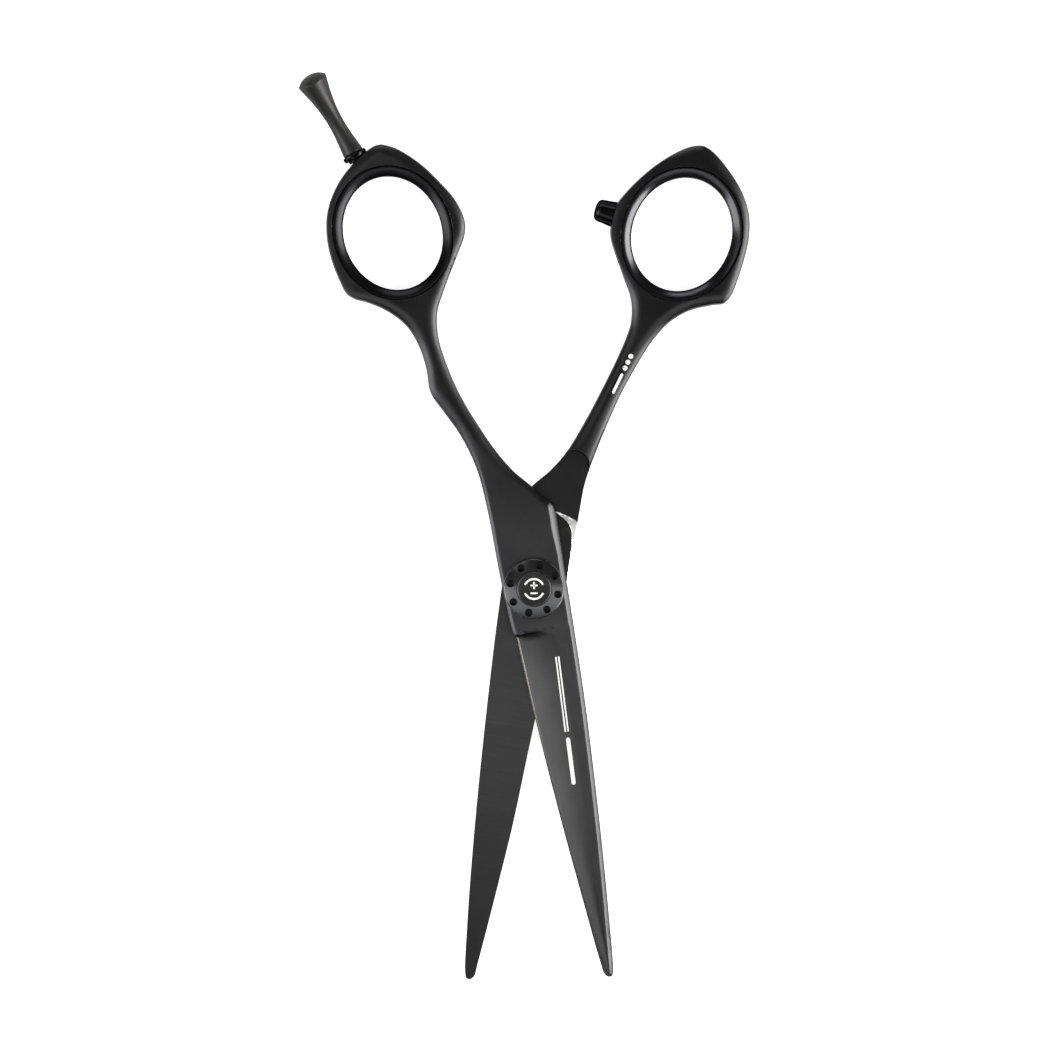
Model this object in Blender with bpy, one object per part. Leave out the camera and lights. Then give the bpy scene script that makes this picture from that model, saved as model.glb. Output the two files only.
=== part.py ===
"""Hair cutting shears with an offset finger half, click tension dial and screw-on finger rest.

The shears lie flat, dial side up. The origin is where the pivot's axis meets the plane the shears
lie on, +Y runs from the blade tips to the finger rings and +Z points up. Sizes below are in
millimetres and are turned into metres as each mesh is made.
"""

import math

import bmesh
import bpy
import numpy as np
from mathutils import Matrix, Vector
from mathutils.geometry import delaunay_2d_cdt

MM = 0.001

# Overall
HALF_OPEN = 10.108  # each half is turned this many degrees from the closed position
MID = 2.7  # height of the plane where the two halves meet
FACE_GAP = 0.05  # each half's inner face stands this far off that plane
LAP_HEIGHT = 2.35  # outer face of the pivot flat and shank, from the middle plane
RING_HEIGHT = 2.7  # outer face of a finger ring, from the middle plane

# Blades
HEEL_Y = -7.5  # where the ground face starts, below the pivot
STEP_WIDTH = 0.45
TIP_Y = -70.0
TIP_THICKNESS = 1.15
EDGE_THICKNESS = 0.12
EDGE_BEVEL = 0.25
GROUND_BULGE = 1.45  # 1 would make the ground face flat across
RIDGE_X = 2.1
RIDGE_TIP_X = 0.55
RIDGE_BEND_Y = -18.0  # the ridge is straight above this and curves towards the tip below it
RIDGE_ROUND = 1.6  # radius of the ground face's upper corner
SPINE_CHAMFER = 0.9
SPINE_DROP = 0.62
HOLLOW_DEPTH = 0.10

# Bevels and round stretches of the outline
BEVEL_LEFT = 0.6
BEVEL_RIGHT = 1.0
BEVEL_DROP = 0.9
ROUND_WIDTH = 2.1
ROUND_POWER = 2.3
RISE_FROM = 44.0  # the shank thickens to the ring between these heights
RISE_TO = 56.0
ROUND_FROM = 14.0  # bevels turn into round edges between these heights
ROUND_TO = 32.0
EQUATOR = 0.15  # half height of the flat line round a shank
SHOULDER_X = -3.4
SHOULDER_Y = 22.6
SHOULDER_R = 2.6
SHOULDER_WALL = 0.15

# Ring inserts
INSERT_BAND = 1.65
LIP_GAP = 0.1
RIB_INSET = 1.15  # from the finger opening to the metal rib that the insert clips over
RIB_HEIGHT = 1.4
REBATE_WALL = 0.08

# Pivot: radii, half widths of the flats, and heights from the table up
FIT = 0.1
RUNNING = 0.05
HEAD_R = 4.5
HEAD_CHAMFER = 0.3
HEAD_TOP = 0.95
SPANNER_R = 0.6
SPANNER_X = 2.6
SPANNER_DEPTH = 0.55
NECK_R = 2.5
NECK_FLAT = 2.1
NECK_TOP = 2.2
SHAFT_R = 2.1
SHAFT_TOP = 5.15
KEY_FLAT = 1.7
KEY_TOP = 5.56
THREAD_R = 1.5
THREAD_ROOT = 1.35
THREAD_TOP = 6.18
RIDE_R = 4.4
RIDE_SEAT = 2.33
RIDE_BASE = 2.38
RIDE_TOP = 2.69
BUSH_R = 3.1
BUSH_BASE = 2.85
BUSH_TOP = 5.0
THRUST_R = 4.6
THRUST_BASE = 5.1
THRUST_TOP = 5.3
PLATE_R = 4.9
PLATE_BASE = 5.36
PLATE_TOP = 5.5
WAVE_R = 3.2
WAVE_BASE = 5.68
WAVE_TOP = 5.83
WAVE_LIFT = 0.08
WAVE_PLAY = 0.15

# Tension dial
DIAL_R = 5.37
DIAL_SKIRT_R = 3.4  # opening of the skirt that covers the wave washer
DIAL_BASE = 5.65
DIAL_WEB = 6.0
DIAL_TOP = 6.7
DIAL_CHAMFER = 0.35
DIAL_HOLES = 8
DIAL_HOLE_R = 0.675
DIAL_HOLE_CIRCLE = 4.31
DIAL_HOLE_PHASE = 31.5
CAP_R = 3.05
CAP_SEAT = 6.25
CAP_TOP = 6.85
CAP_CHAMFER = 0.12

# Finger rest, in the frame of the finger half
REST_X = -16.72
REST_Y = 81.2
REST_ANGLE = 109.0
REST_LENGTH = 15.4
REST_RISE = 2.25
STUD_R = 1.0
STUD_ROOT = 0.85
STUD_DEPTH = 2.0  # into the ring, from its rim
STUD_HOLE = 3.0
SOCKET_DEPTH = 2.1
STUD_TOP = 1.9
RIM_DROP = 0.85  # from the washer's middle down to the ring's rim
WASHER_HALF = 0.33
WASHER_MIDDLE_R = 1.6
WASHER_WIDE = 0.48

# Bumper, in the frame of the thumb half
BUMPER_X = 3.13
BUMPER_Y = 67.6
BUMPER_ANGLE = 173.1
BUMPER_LENGTH = 3.45
BUMPER_SINK = 0.6
BUMPER_SEAT_R = 2.35
BUMPER_PLUG_R = 1.0
BUMPER_HOLE = 1.6

# Outlines, with the cutting edge on the left, run down the edge, up the spine, round the ring
# and back down the shank. The thumb half is drawn as if turned over.
FINGER_OUTLINE = (
    (-5.0, -7.45), (-4.7, -7.95), (-4.52, -11.0), (-4.27, -18.6), (-3.78, -28.8), (-2.97, -41.5),
    (-1.99, -54.2), (-0.91, -66.9), (-0.55, -69.2), (0.05, -69.85), (0.75, -69.7), (1.12, -68.6),
    (2.13, -59.5), (3.31, -46.8), (4.3, -34.0), (5.12, -21.3), (5.65, -8.5), (5.97, 2.0),
    (6.2, 9.0), (6.27, 12.6), (5.8, 14.35), (4.5, 15.7), (3.05, 17.8), (0.39, 21.1), (-1.8, 24.8),
    (-4.36, 30.6), (-6.5, 36.6), (-7.84, 42.8), (-8.21, 47.0), (-7.57, 51.2), (-5.59, 55.0),
    (-2.26, 60.4), (-0.3, 63.7), (0.23, 66.2), (-0.76, 70.2), (-2.92, 73.9), (-5.41, 77.4),
    (-8.42, 80.4), (-10.2, 81.6), (-12.1, 82.3), (-14.1, 81.8), (-18.3, 79.05), (-21.25, 76.0),
    (-23.36, 72.3), (-24.29, 68.2), (-24.27, 64.0), (-23.51, 59.8), (-22.8, 57.5), (-21.5, 56.2),
    (-19.6, 55.3), (-16.2, 53.0), (-13.4, 49.8), (-11.9, 45.8), (-11.4, 41.6), (-11.45, 37.5),
    (-9.7, 33.5), (-7.9, 29.6), (-6.6, 25.6), (-5.8, 21.4), (-5.46, 15.0), (-5.46, 2.4),
)
THUMB_OUTLINE = (
    (-5.0, -7.45), (-4.7, -7.95), (-4.5, -11.0), (-4.15, -18.6), (-3.68, -28.8), (-3.13, -41.5),
    (-2.14, -54.2), (-1.0, -66.9), (-0.72, -69.3), (-0.1, -69.95), (0.6, -69.85), (0.98, -68.9),
    (2.14, -59.1), (3.26, -46.4), (4.16, -33.6), (4.88, -20.9), (5.47, -8.1), (5.75, 2.0),
    (6.0, 9.0), (6.05, 12.4), (5.6, 14.3), (4.4, 15.9), (3.2, 18.0), (0.5, 21.2), (-1.7, 24.8),
    (-4.06, 30.7), (-6.1, 36.8), (-7.9, 42.8), (-8.9, 46.9), (-9.2, 49.3), (-8.6, 53.1),
    (-6.6, 56.9), (-4.5, 60.7), (-3.2, 63.5), (-2.87, 65.8), (-3.3, 69.3), (-4.4, 71.5),
    (-6.8, 74.9), (-9.6, 78.0), (-12.9, 80.7), (-14.8, 81.75), (-16.8, 82.15), (-18.8, 81.3),
    (-22.0, 78.55), (-24.8, 75.3), (-26.7, 71.6), (-27.4, 67.4), (-27.15, 63.2), (-26.5, 59.0),
    (-26.0, 56.9), (-24.9, 55.2), (-22.9, 54.55), (-19.0, 52.9), (-15.8, 50.2), (-13.5, 46.6),
    (-11.8, 42.7), (-9.65, 36.7), (-8.0, 30.5), (-6.6, 24.3), (-5.85, 19.8), (-5.72, 15.0),
    (-5.66, 2.4),
)
# Finger openings: centre, half length, half width and the direction of the length
OPENING_SIDES = 40
FINGER_OPENING = (-12.7, 66.45, 10.2, 8.7, 98.0)
THUMB_OPENING = (-15.55, 66.06, 10.18, 8.83, 99.0)


def blend(a, b, share):
    return a + (b - a) * share


def smoothstep(low, high, value):
    share = np.clip((value - low) / (high - low), 0.0, 1.0)
    return share * share * (3 - 2 * share)


# Outlines ------------------------------------------------------------------------------------


def smooth_line(points, fine=0.25, longest=5.0, turn=14.0):
    """A closed curve through the points, sampled closely only where it turns."""
    loop = np.array(points, float)
    samples = []
    for i in range(len(loop)):
        p0, p1, p2, p3 = (loop[(i + k) % len(loop)] for k in (-1, 0, 1, 2))
        t1 = np.linalg.norm(p1 - p0) ** 0.5
        t2 = t1 + np.linalg.norm(p2 - p1) ** 0.5
        t3 = t2 + np.linalg.norm(p3 - p2) ** 0.5
        count = max(2, int(np.linalg.norm(p2 - p1) / fine))
        for t in np.linspace(t1, t2, count, endpoint=False):
            a1 = p0 * (t1 - t) / t1 + p1 * t / t1
            a2 = p1 * (t2 - t) / (t2 - t1) + p2 * (t - t1) / (t2 - t1)
            a3 = p2 * (t3 - t) / (t3 - t2) + p3 * (t - t2) / (t3 - t2)
            b1 = a1 * (t2 - t) / t2 + a2 * t / t2
            b2 = a2 * (t3 - t) / (t3 - t1) + a3 * (t - t1) / (t3 - t1)
            samples.append(b1 * (t2 - t) / (t2 - t1) + b2 * (t - t1) / (t2 - t1))
    samples = np.array(samples)
    kept = [samples[0]]
    heading = samples[1] - samples[0]
    for here, after in zip(samples[1:], np.roll(samples, -2, axis=0)[: len(samples) - 1]):
        step = after - here
        cosine = np.dot(heading, step) / (np.linalg.norm(heading) * np.linalg.norm(step))
        turned = math.degrees(math.acos(np.clip(cosine, -1, 1)))
        if turned > turn or np.linalg.norm(here - kept[-1]) > longest:
            kept.append(here)
            heading = step
    return np.array(kept)


def inward_normals(loop):
    tangent = np.roll(loop, -1, axis=0) - np.roll(loop, 1, axis=0)
    tangent /= np.linalg.norm(tangent, axis=1)[:, None]
    return np.stack([-tangent[:, 1], tangent[:, 0]], axis=1)


def distance_to(loop, points):
    """Distance from each point to the closed outline."""
    start = loop[None]
    side = np.roll(loop, -1, axis=0)[None] - start
    offset = points[:, None] - start
    share = np.clip((offset * side).sum(2) / (side * side).sum(2), 0, 1)
    return np.linalg.norm(offset - share[..., None] * side, axis=2).min(1)


def inside(loop, points):
    """Whether each point is inside the closed outline, by counting crossings."""
    x, y = points[:, None, 0], points[:, None, 1]
    x1, y1 = loop[None, :, 0], loop[None, :, 1]
    x2, y2 = np.roll(loop, -1, axis=0).T[:, None]
    crosses = (y1 > y) != (y2 > y)
    rise = np.where(y2 == y1, 1.0, y2 - y1)
    return (crosses & (x < (x2 - x1) * (y - y1) / rise + x1)).sum(1) % 2 == 1


def ellipse(opening, grow, count):
    """The opening's outline moved outwards by grow, and its outward normals."""
    cx, cy, long, short, angle = opening
    turn = math.radians(angle)
    along = np.array([math.cos(turn), math.sin(turn)])
    across = np.array([-along[1], along[0]])
    t = np.arange(count)[:, None] * (2 * math.pi / count)
    normal = np.cos(t) / long * along + np.sin(t) / short * across
    normal /= np.linalg.norm(normal, axis=1)[:, None]
    points = np.array([cx, cy]) + np.cos(t) * long * along + np.sin(t) * short * across
    return points + grow * normal, normal


# The shape of a half ------------------------------------------------------------------------


def across_blade(outline, y):
    """x of the cutting edge and of the spine at each height y."""
    lowest = int(np.argmin(outline[:, 1]))
    edge = outline[: lowest + 1]
    spine = outline[lowest:]
    spine = spine[: int(np.argmax(spine[:, 1] > 5)) + 1]
    return (
        np.interp(-y, -edge[:, 1], edge[:, 0]),
        np.interp(y, spine[:, 1], spine[:, 0]),
    )


def ridge_at(y):
    """x of the line where the ground face meets the flat back of the blade."""
    share = np.clip((HEEL_Y - STEP_WIDTH - y) / RIDGE_ROUND, 0, 1)
    corner = RIDGE_ROUND * (1 - np.sqrt(1 - (1 - share) ** 2))
    return blend(RIDGE_X, RIDGE_TIP_X, smoothstep(RIDGE_BEND_Y, TIP_Y, y)) - corner


def blade_thickness(y):
    return blend(LAP_HEIGHT - FACE_GAP, TIP_THICKNESS, np.clip(y / TIP_Y, 0, 1))


def ground_height(outline, x, y):
    """Outer height of the blade before its spine chamfer, thinning to the cutting edge."""
    edge, _ = across_blade(outline, y)
    thick = blade_thickness(y)
    ridge = np.maximum(ridge_at(y), edge + 0.5)
    share = np.clip((x - edge - EDGE_BEVEL) / (ridge - edge - EDGE_BEVEL), 0, 1)
    low = EDGE_THICKNESS + EDGE_BEVEL
    height = low + (thick - low) * (1 - (1 - share) ** GROUND_BULGE)
    near = np.clip((x - edge) / EDGE_BEVEL, 0, 1)
    return FACE_GAP + np.where(near < 1, blend(EDGE_THICKNESS, low, near), height)


def rounded(share):
    return (1 - (1 - np.clip(share, 0, 1)) ** ROUND_POWER) ** (1 / ROUND_POWER)


def beyond_shoulder(x, y):
    """0 on the half-lap flat, 1 where the shank has its full thickness."""
    reach = np.hypot(x - SHOULDER_X, y - SHOULDER_Y) - SHOULDER_R
    return np.where(y > SHOULDER_Y, np.clip(reach / SHOULDER_WALL, 0, 1), 0.0)


def shank_height(y, depth, width):
    """Height of the lap, shank or ring at this distance from the outline."""
    height = blend(LAP_HEIGHT, RING_HEIGHT, smoothstep(RISE_FROM, RISE_TO, y))
    shank = smoothstep(ROUND_FROM, ROUND_TO, y)
    low = blend(LAP_HEIGHT - BEVEL_DROP, EQUATOR, shank)
    share = np.clip(depth / blend(width, ROUND_WIDTH, shank), 0, 1)
    return low + (height - low) * blend(share, rounded(share), shank)


def outer_height(outline, x, y, depth):
    """Height of the outer face over the middle plane."""
    centre = blend(0.0, -4.0, smoothstep(12, 26, y))
    width = np.where(x < centre, BEVEL_LEFT, BEVEL_RIGHT)
    handle = shank_height(y, depth, width)
    blade = ground_height(outline, x, y)
    spine = FACE_GAP + blade_thickness(y) - SPINE_DROP * (1 - np.clip(depth / SPINE_CHAMFER, 0, 1))
    _, back = across_blade(outline, y)
    blade = np.where(back - x < 2.2 * SPINE_CHAMFER, np.minimum(blade, spine), blade)
    flat_left = np.minimum(FACE_GAP + blade_thickness(y), handle)
    share = np.clip((HEEL_Y - y) / STEP_WIDTH, 0, 1)
    near_pivot = np.where(x < ridge_at(np.minimum(y, HEEL_Y)), blend(flat_left, blade, share), blade)
    return np.where(y > HEEL_Y, np.where(y < 0, np.minimum(handle, LAP_HEIGHT), handle), near_pivot)


def inner_height(outline, x, y, depth):
    """How far the inner face lies past the middle plane: a little short of it on the half-lap."""
    edge, back = across_blade(outline, y)
    across = np.clip((x - edge) / (back - edge), 0, 1)
    hollow = HOLLOW_DEPTH * np.clip(4 * across * (1 - across), 0, 1) * smoothstep(-9, -14, y)
    lap = -FACE_GAP - np.where(depth > 0.4, hollow, 0.0)
    full = shank_height(np.maximum(y, ROUND_TO), depth, ROUND_WIDTH)
    full = np.where(y < RISE_FROM, np.minimum(full, LAP_HEIGHT), full)
    return blend(lap, full, beyond_shoulder(x, y))


def mesh_from(name, points, faces, material):
    """An object from points in millimetres, with its faces made to point outwards."""
    mesh = bpy.data.meshes.new(name)
    mesh.from_pydata([Vector(p) * MM for p in points], [], faces)
    work = bmesh.new()
    work.from_mesh(mesh)
    bmesh.ops.remove_doubles(work, verts=work.verts, dist=1e-7)
    bmesh.ops.recalc_face_normals(work, faces=work.faces)
    work.to_mesh(mesh)
    work.free()
    mesh.shade_smooth()
    mesh.set_sharp_from_angle(angle=math.radians(32))
    mesh.materials.append(material)
    thing = bpy.data.objects.new(name, mesh)
    bpy.context.scene.collection.objects.link(thing)
    return thing


def open_chain(points):
    return points, [(i, i + 1) for i in range(len(points) - 1)]


def closed_chain(points):
    return points, [(i, (i + 1) % len(points)) for i in range(len(points))]


def shoulder_arcs(outline):
    """The two edges of the round wall where the half-lap ends."""
    t = np.radians(np.linspace(-8, 188, 13))
    for radius in (SHOULDER_R, SHOULDER_R + SHOULDER_WALL):
        arc = np.stack([SHOULDER_X + radius * np.cos(t), SHOULDER_Y + radius * np.sin(t)], axis=1)
        yield open_chain(arc[inside(outline, arc)])


def ground_lines(outline):
    """The ridge with its round upper corner, and the two edges of the step at the heel."""
    ys = np.array([-11.0, -19, -28, -37, -46, -55, -62, -67])
    ridge = np.stack([ridge_at(ys), ys], axis=1)
    corner = np.radians(np.linspace(90, 0, 4))
    bend = np.stack([RIDGE_X - RIDGE_ROUND * (1 - np.cos(corner)),
                     HEEL_Y - STEP_WIDTH - RIDGE_ROUND * (1 - np.sin(corner))], axis=1)
    yield open_chain(np.concatenate([bend, ridge]))
    for y in (HEEL_Y, HEEL_Y - STEP_WIDTH):
        left, _ = across_blade(outline, np.array([y]))
        yield open_chain(np.array([[left[0] + 0.02, y], [bend[0, 0], y]]))


def half_solid(name, outline_points, opening, turned_over, material):
    """One half: its plan is triangulated inside the outline, then raised to both faces."""
    outline = smooth_line(outline_points)
    normals = inward_normals(outline)
    rib, _ = ellipse(opening, RIB_INSET, OPENING_SIDES)
    lip, _ = ellipse(opening, INSERT_BAND + LIP_GAP, OPENING_SIDES)
    wall, _ = ellipse(opening, INSERT_BAND + LIP_GAP + REBATE_WALL, OPENING_SIDES)
    chains = [closed_chain(loop) for loop in (outline, rib, lip, wall)]
    chains += [*shoulder_arcs(outline), *ground_lines(outline)]
    points, edges = [], []
    for chain, links in chains:
        edges += [(a + len(points), b + len(points)) for a, b in links]
        points += [tuple(p) for p in chain]
    for depth in (0.3, 1.0):
        moved = outline + depth * normals
        keep = (distance_to(outline, moved) > 0.96 * depth) & ~inside(wall, moved)
        points += [tuple(p) for p in moved[keep & inside(outline, moved)]]
    plan = delaunay_2d_cdt([Vector(p) for p in points], edges, [], 0, 1e-4)
    flat = np.array([tuple(v) for v in plan[0]])
    triangles = np.array([tuple(f) for f in plan[2]])
    middle = flat[triangles].mean(axis=1)
    triangles = triangles[inside(outline, middle) & ~inside(rib, middle)]
    used, triangles = np.unique(triangles, return_inverse=True)
    flat, triangles = flat[used], triangles.reshape(-1, 3)
    return raise_plan(name, outline, opening, flat, triangles, turned_over, material)


def raise_plan(name, outline, opening, flat, triangles, turned_over, material):
    x, y = flat.T
    depth = distance_to(outline, flat)
    lip, _ = ellipse(opening, INSERT_BAND + LIP_GAP + REBATE_WALL / 2, 160)
    rebate = inside(lip, flat)
    outer = np.where(rebate, RIB_HEIGHT, outer_height(outline, x, y, depth))
    inner = np.where(rebate, RIB_HEIGHT, inner_height(outline, x, y, depth))
    upper = np.stack([x, y, MID + outer], axis=1)
    lower = np.stack([x, y, MID - inner], axis=1)
    if turned_over:
        upper = upper * (-1, 1, -1) + (0, 0, 2 * MID)
        lower = lower * (-1, 1, -1) + (0, 0, 2 * MID)
    count = len(flat)
    faces = [tuple(t) for t in triangles] + [tuple(count + t[::-1]) for t in triangles]
    directed = {(t[i], t[(i + 1) % 3]) for t in triangles for i in range(3)}
    for a, b in sorted(directed):
        if (b, a) not in directed:
            faces.append((a, a + count, b + count, b))
    return mesh_from(name, np.concatenate([upper, lower]), faces, material)


# Turned pieces ------------------------------------------------------------------------------


def turned(name, profile, material, segments=32, wave=0.0):
    """A closed profile of (radius, height) or (radius, height, flat) turned about Z.

    A flat cuts the section to that half width along X. A wave lifts three lobes of the ring."""
    points, faces = [], []
    for i in range(segments):
        angle = 2 * math.pi * i / segments
        for entry in profile:
            radius, height = entry[:2]
            if len(entry) > 2 and abs(math.cos(angle)) > 1e-6:
                radius = min(radius, entry[2] / abs(math.cos(angle)))
            lift = wave * math.sin(3 * angle)
            points.append((radius * math.cos(angle), radius * math.sin(angle), height + lift))
    size = len(profile)
    for i in range(segments):
        j = (i + 1) % segments
        for k in range(size):
            m = (k + 1) % size
            if profile[k][0] == 0 and profile[m][0] == 0:
                continue
            faces.append((i * size + k, j * size + k, j * size + m, i * size + m))
    return mesh_from(name, points, faces, material)


def washer(name, inner, outer, low, high, material, segments=32):
    profile = ((inner, low), (outer, low), (outer, high), (inner, high))
    return turned(name, profile, material, segments)


def rod_cutter(name, radius, low, high, centres=((0, 0),), flat=None, segments=32):
    """Round cutters standing at the centres, or flatted ones."""
    points, faces = [], []
    for cx, cy in centres:
        base = len(points)
        for height in (low, high):
            for i in range(segments):
                angle = 2 * math.pi * i / segments
                reach = radius
                if flat and abs(math.cos(angle)) > 1e-6:
                    reach = min(radius, flat / abs(math.cos(angle)))
                points.append((cx + reach * math.cos(angle), cy + reach * math.sin(angle), height))
        faces.append(tuple(base + i for i in reversed(range(segments))))
        faces.append(tuple(base + segments + i for i in range(segments)))
        for i in range(segments):
            j = (i + 1) % segments
            faces.append((base + i, base + j, base + segments + j, base + segments + i))
    cutter = mesh_from(name, points, faces, STEEL)
    cutter.hide_render = True
    cutter.display_type = "WIRE"
    return cutter


def cut(target, cutter):
    """Takes the cutter away from the target. The cutter shares the target's parent."""
    cutter.parent = target.parent
    modifier = target.modifiers.new(cutter.name, "BOOLEAN")
    modifier.operation = "DIFFERENCE"
    modifier.solver = "EXACT"
    modifier.object = cutter


def along_y(thing):
    """Turns a piece made about Z so that its height runs along +Y."""
    thing.data.transform(Matrix.Rotation(math.radians(-90), 4, "X"))
    return thing


def finish(name, colour, roughness, metallic):
    material = bpy.data.materials.new(name)
    material.use_nodes = True
    shader = material.node_tree.nodes["Principled BSDF"]
    shader.inputs["Base Color"].default_value = (*colour, 1.0)
    shader.inputs["Roughness"].default_value = roughness
    shader.inputs["Metallic"].default_value = metallic
    material.diffuse_color = (*colour, 1.0)
    return material


def pivot_empty(name, parent=None, location=(0, 0, 0), turn=0.0):
    empty = bpy.data.objects.new(name, None)
    bpy.context.scene.collection.objects.link(empty)
    empty.parent = parent
    empty.location = Vector(location) * MM
    empty.rotation_euler.z = math.radians(turn)
    return empty


# The pieces ---------------------------------------------------------------------------------


def make_finger_half(side):
    half = half_solid("finger_half", FINGER_OUTLINE, FINGER_OPENING, False, COATED)
    half.parent = side
    cut(half, rod_cutter("cut_bush_hole", BUSH_R + FIT, 0, 8))
    drill = along_y(rod_cutter("cut_stud_hole", STUD_R + FIT, -STUD_HOLE, STUD_HOLE, segments=20))
    drill.location = (REST_X * MM, REST_Y * MM, MID * MM)
    drill.rotation_euler.z = math.radians(REST_ANGLE - 90)
    cut(half, drill)


def make_thumb_half(side):
    half = half_solid("thumb_half", THUMB_OUTLINE, THUMB_OPENING, True, COATED)
    half.parent = side
    cut(half, rod_cutter("cut_neck_hole", NECK_R + FIT, -1, 4, flat=NECK_FLAT + FIT))
    cut(half, rod_cutter("cut_head_recess", HEAD_R + FIT, -1, HEAD_TOP + FIT))
    cut(half, rod_cutter("cut_washer_recess", RIDE_R + FIT, RIDE_SEAT, 4))
    seat = along_y(rod_cutter("cut_bumper_seat", BUMPER_SEAT_R, -BUMPER_SINK, 4, segments=24))
    hole = along_y(rod_cutter("cut_bumper_hole", BUMPER_PLUG_R + FIT, -BUMPER_HOLE, 4, segments=24))
    for cutter in (seat, hole):
        cutter.location = (BUMPER_X * MM, BUMPER_Y * MM, MID * MM)
        cutter.rotation_euler.z = math.radians(BUMPER_ANGLE - 90)
        cut(half, cutter)


def make_insert(name, opening, turned_over, side):
    """The liner: two soft lips that grip the ring's rib, round the finger opening."""
    section = [(0.0, 1.0), (0.18, 1.85), (0.6, 2.42), (1.1, 2.6), (1.45, 2.42), (1.6, 2.0),
               (1.6, RIB_HEIGHT + LIP_GAP), (RIB_INSET - LIP_GAP, RIB_HEIGHT + LIP_GAP)]
    section += [(reach, -height) for reach, height in reversed(section)]
    points, faces = [], []
    start, normal = ellipse(opening, 0.0, OPENING_SIDES)
    for p, n in zip(start, normal):
        for reach, height in section:
            x, y = p + n * reach
            points.append((-x if turned_over else x, y, MID + height))
    size = len(section)
    for i in range(OPENING_SIDES):
        j = (i + 1) % OPENING_SIDES
        for k in range(size):
            m = (k + 1) % size
            faces.append((i * size + k, j * size + k, j * size + m, i * size + m))
    mesh_from(name, points, faces, RUBBER).parent = side


def make_pivot(side):
    """Screw, washers, click plate and bush, from the table up."""
    thread = []
    for turn in range(2):
        thread += [(THREAD_ROOT, KEY_TOP + 0.04 + 0.2 * turn), (THREAD_R, KEY_TOP + 0.14 + 0.2 * turn)]
    screw = turned("pivot_screw", (
        (0, 0), (HEAD_R - HEAD_CHAMFER, 0), (HEAD_R, HEAD_CHAMFER), (HEAD_R, HEAD_TOP),
        (NECK_R, HEAD_TOP, NECK_FLAT), (NECK_R, NECK_TOP, NECK_FLAT), (SHAFT_R, NECK_TOP + 0.05),
        (SHAFT_R, SHAFT_TOP), (SHAFT_R, SHAFT_TOP + 0.05, KEY_FLAT), (SHAFT_R, KEY_TOP, KEY_FLAT),
        *thread, (THREAD_ROOT, KEY_TOP + 0.44), (THREAD_ROOT - 0.1, THREAD_TOP), (0, THREAD_TOP),
    ), STEEL)
    screw.parent = side
    cut(screw, rod_cutter("cut_spanner_holes", SPANNER_R, -1, SPANNER_DEPTH,
                          ((SPANNER_X, 0), (-SPANNER_X, 0)), segments=16))
    washer("ride_washer", NECK_R + FIT, RIDE_R, RIDE_BASE, RIDE_TOP, WASHER_WHITE).parent = side
    washer("thrust_washer", SHAFT_R + FIT, THRUST_R, THRUST_BASE, THRUST_TOP, BRASS).parent = side
    plate = turned("click_plate", (
        (SHAFT_R + FIT, PLATE_BASE, KEY_FLAT + FIT), (PLATE_R, PLATE_BASE), (PLATE_R, PLATE_TOP),
        (SHAFT_R + FIT, PLATE_TOP, KEY_FLAT + FIT),
    ), STEEL)
    plate.parent = side
    bumps = bpy.data.objects.new("click_bumps", click_bumps())
    bpy.context.scene.collection.objects.link(bumps)
    bumps.hide_render = True
    bumps.display_type = "WIRE"
    bumps.parent = side
    joining = plate.modifiers.new("bumps", "BOOLEAN")
    joining.operation = "UNION"
    joining.solver = "EXACT"
    joining.object = bumps
    turned("wave_washer", (
        (SHAFT_R + WAVE_PLAY, WAVE_BASE), (WAVE_R, WAVE_BASE), (WAVE_R, WAVE_TOP),
        (SHAFT_R + WAVE_PLAY, WAVE_TOP),
    ), STEEL, wave=WAVE_LIFT).parent = side


def click_bumps():
    """Two low bumps on opposite sides of the click plate, under the dial's circle of holes."""
    work = bmesh.new()
    for side in (0, 180):
        angle = math.radians(DIAL_HOLE_PHASE + side)
        reach = DIAL_HOLE_CIRCLE * MM
        spot = Matrix.Translation((reach * math.cos(angle), reach * math.sin(angle), PLATE_TOP * MM))
        bmesh.ops.create_cone(work, cap_ends=True, segments=12, radius1=0.5 * MM,
                              radius2=0.3 * MM, depth=0.2 * MM, matrix=spot)
    mesh = bpy.data.meshes.new("click_bumps")
    work.to_mesh(mesh)
    work.free()
    return mesh


def make_dial(axis):
    dial = turned("tension_dial", (
        (THREAD_R + FIT, DIAL_WEB), (DIAL_SKIRT_R, DIAL_WEB), (DIAL_SKIRT_R, DIAL_BASE),
        (DIAL_R - 0.2, DIAL_BASE), (DIAL_R, DIAL_BASE + 0.2), (DIAL_R, DIAL_TOP - DIAL_CHAMFER),
        (DIAL_R - DIAL_CHAMFER, DIAL_TOP), (CAP_R + FIT, DIAL_TOP), (CAP_R + FIT, CAP_SEAT),
        (THREAD_R + FIT, CAP_SEAT),
    ), DIAL_STEEL, segments=40)
    dial.parent = axis
    centres = []
    for i in range(DIAL_HOLES):
        angle = math.radians(DIAL_HOLE_PHASE + 360 / DIAL_HOLES * i)
        centres.append((DIAL_HOLE_CIRCLE * math.cos(angle), DIAL_HOLE_CIRCLE * math.sin(angle)))
    cut(dial, rod_cutter("cut_dial_holes", DIAL_HOLE_R, 5, 8, centres, segments=12))
    turned("dial_cap", (
        (0, CAP_SEAT + FIT), (CAP_R, CAP_SEAT + FIT), (CAP_R, CAP_TOP - CAP_CHAMFER),
        (CAP_R - CAP_CHAMFER, CAP_TOP), (0, CAP_TOP),
    ), COATED).parent = axis


def rest_centre(s):
    """The horn's centreline: straight in plan, rising ever faster towards its end."""
    return Vector((0, s, REST_RISE * (s / REST_LENGTH) ** 2))


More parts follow.
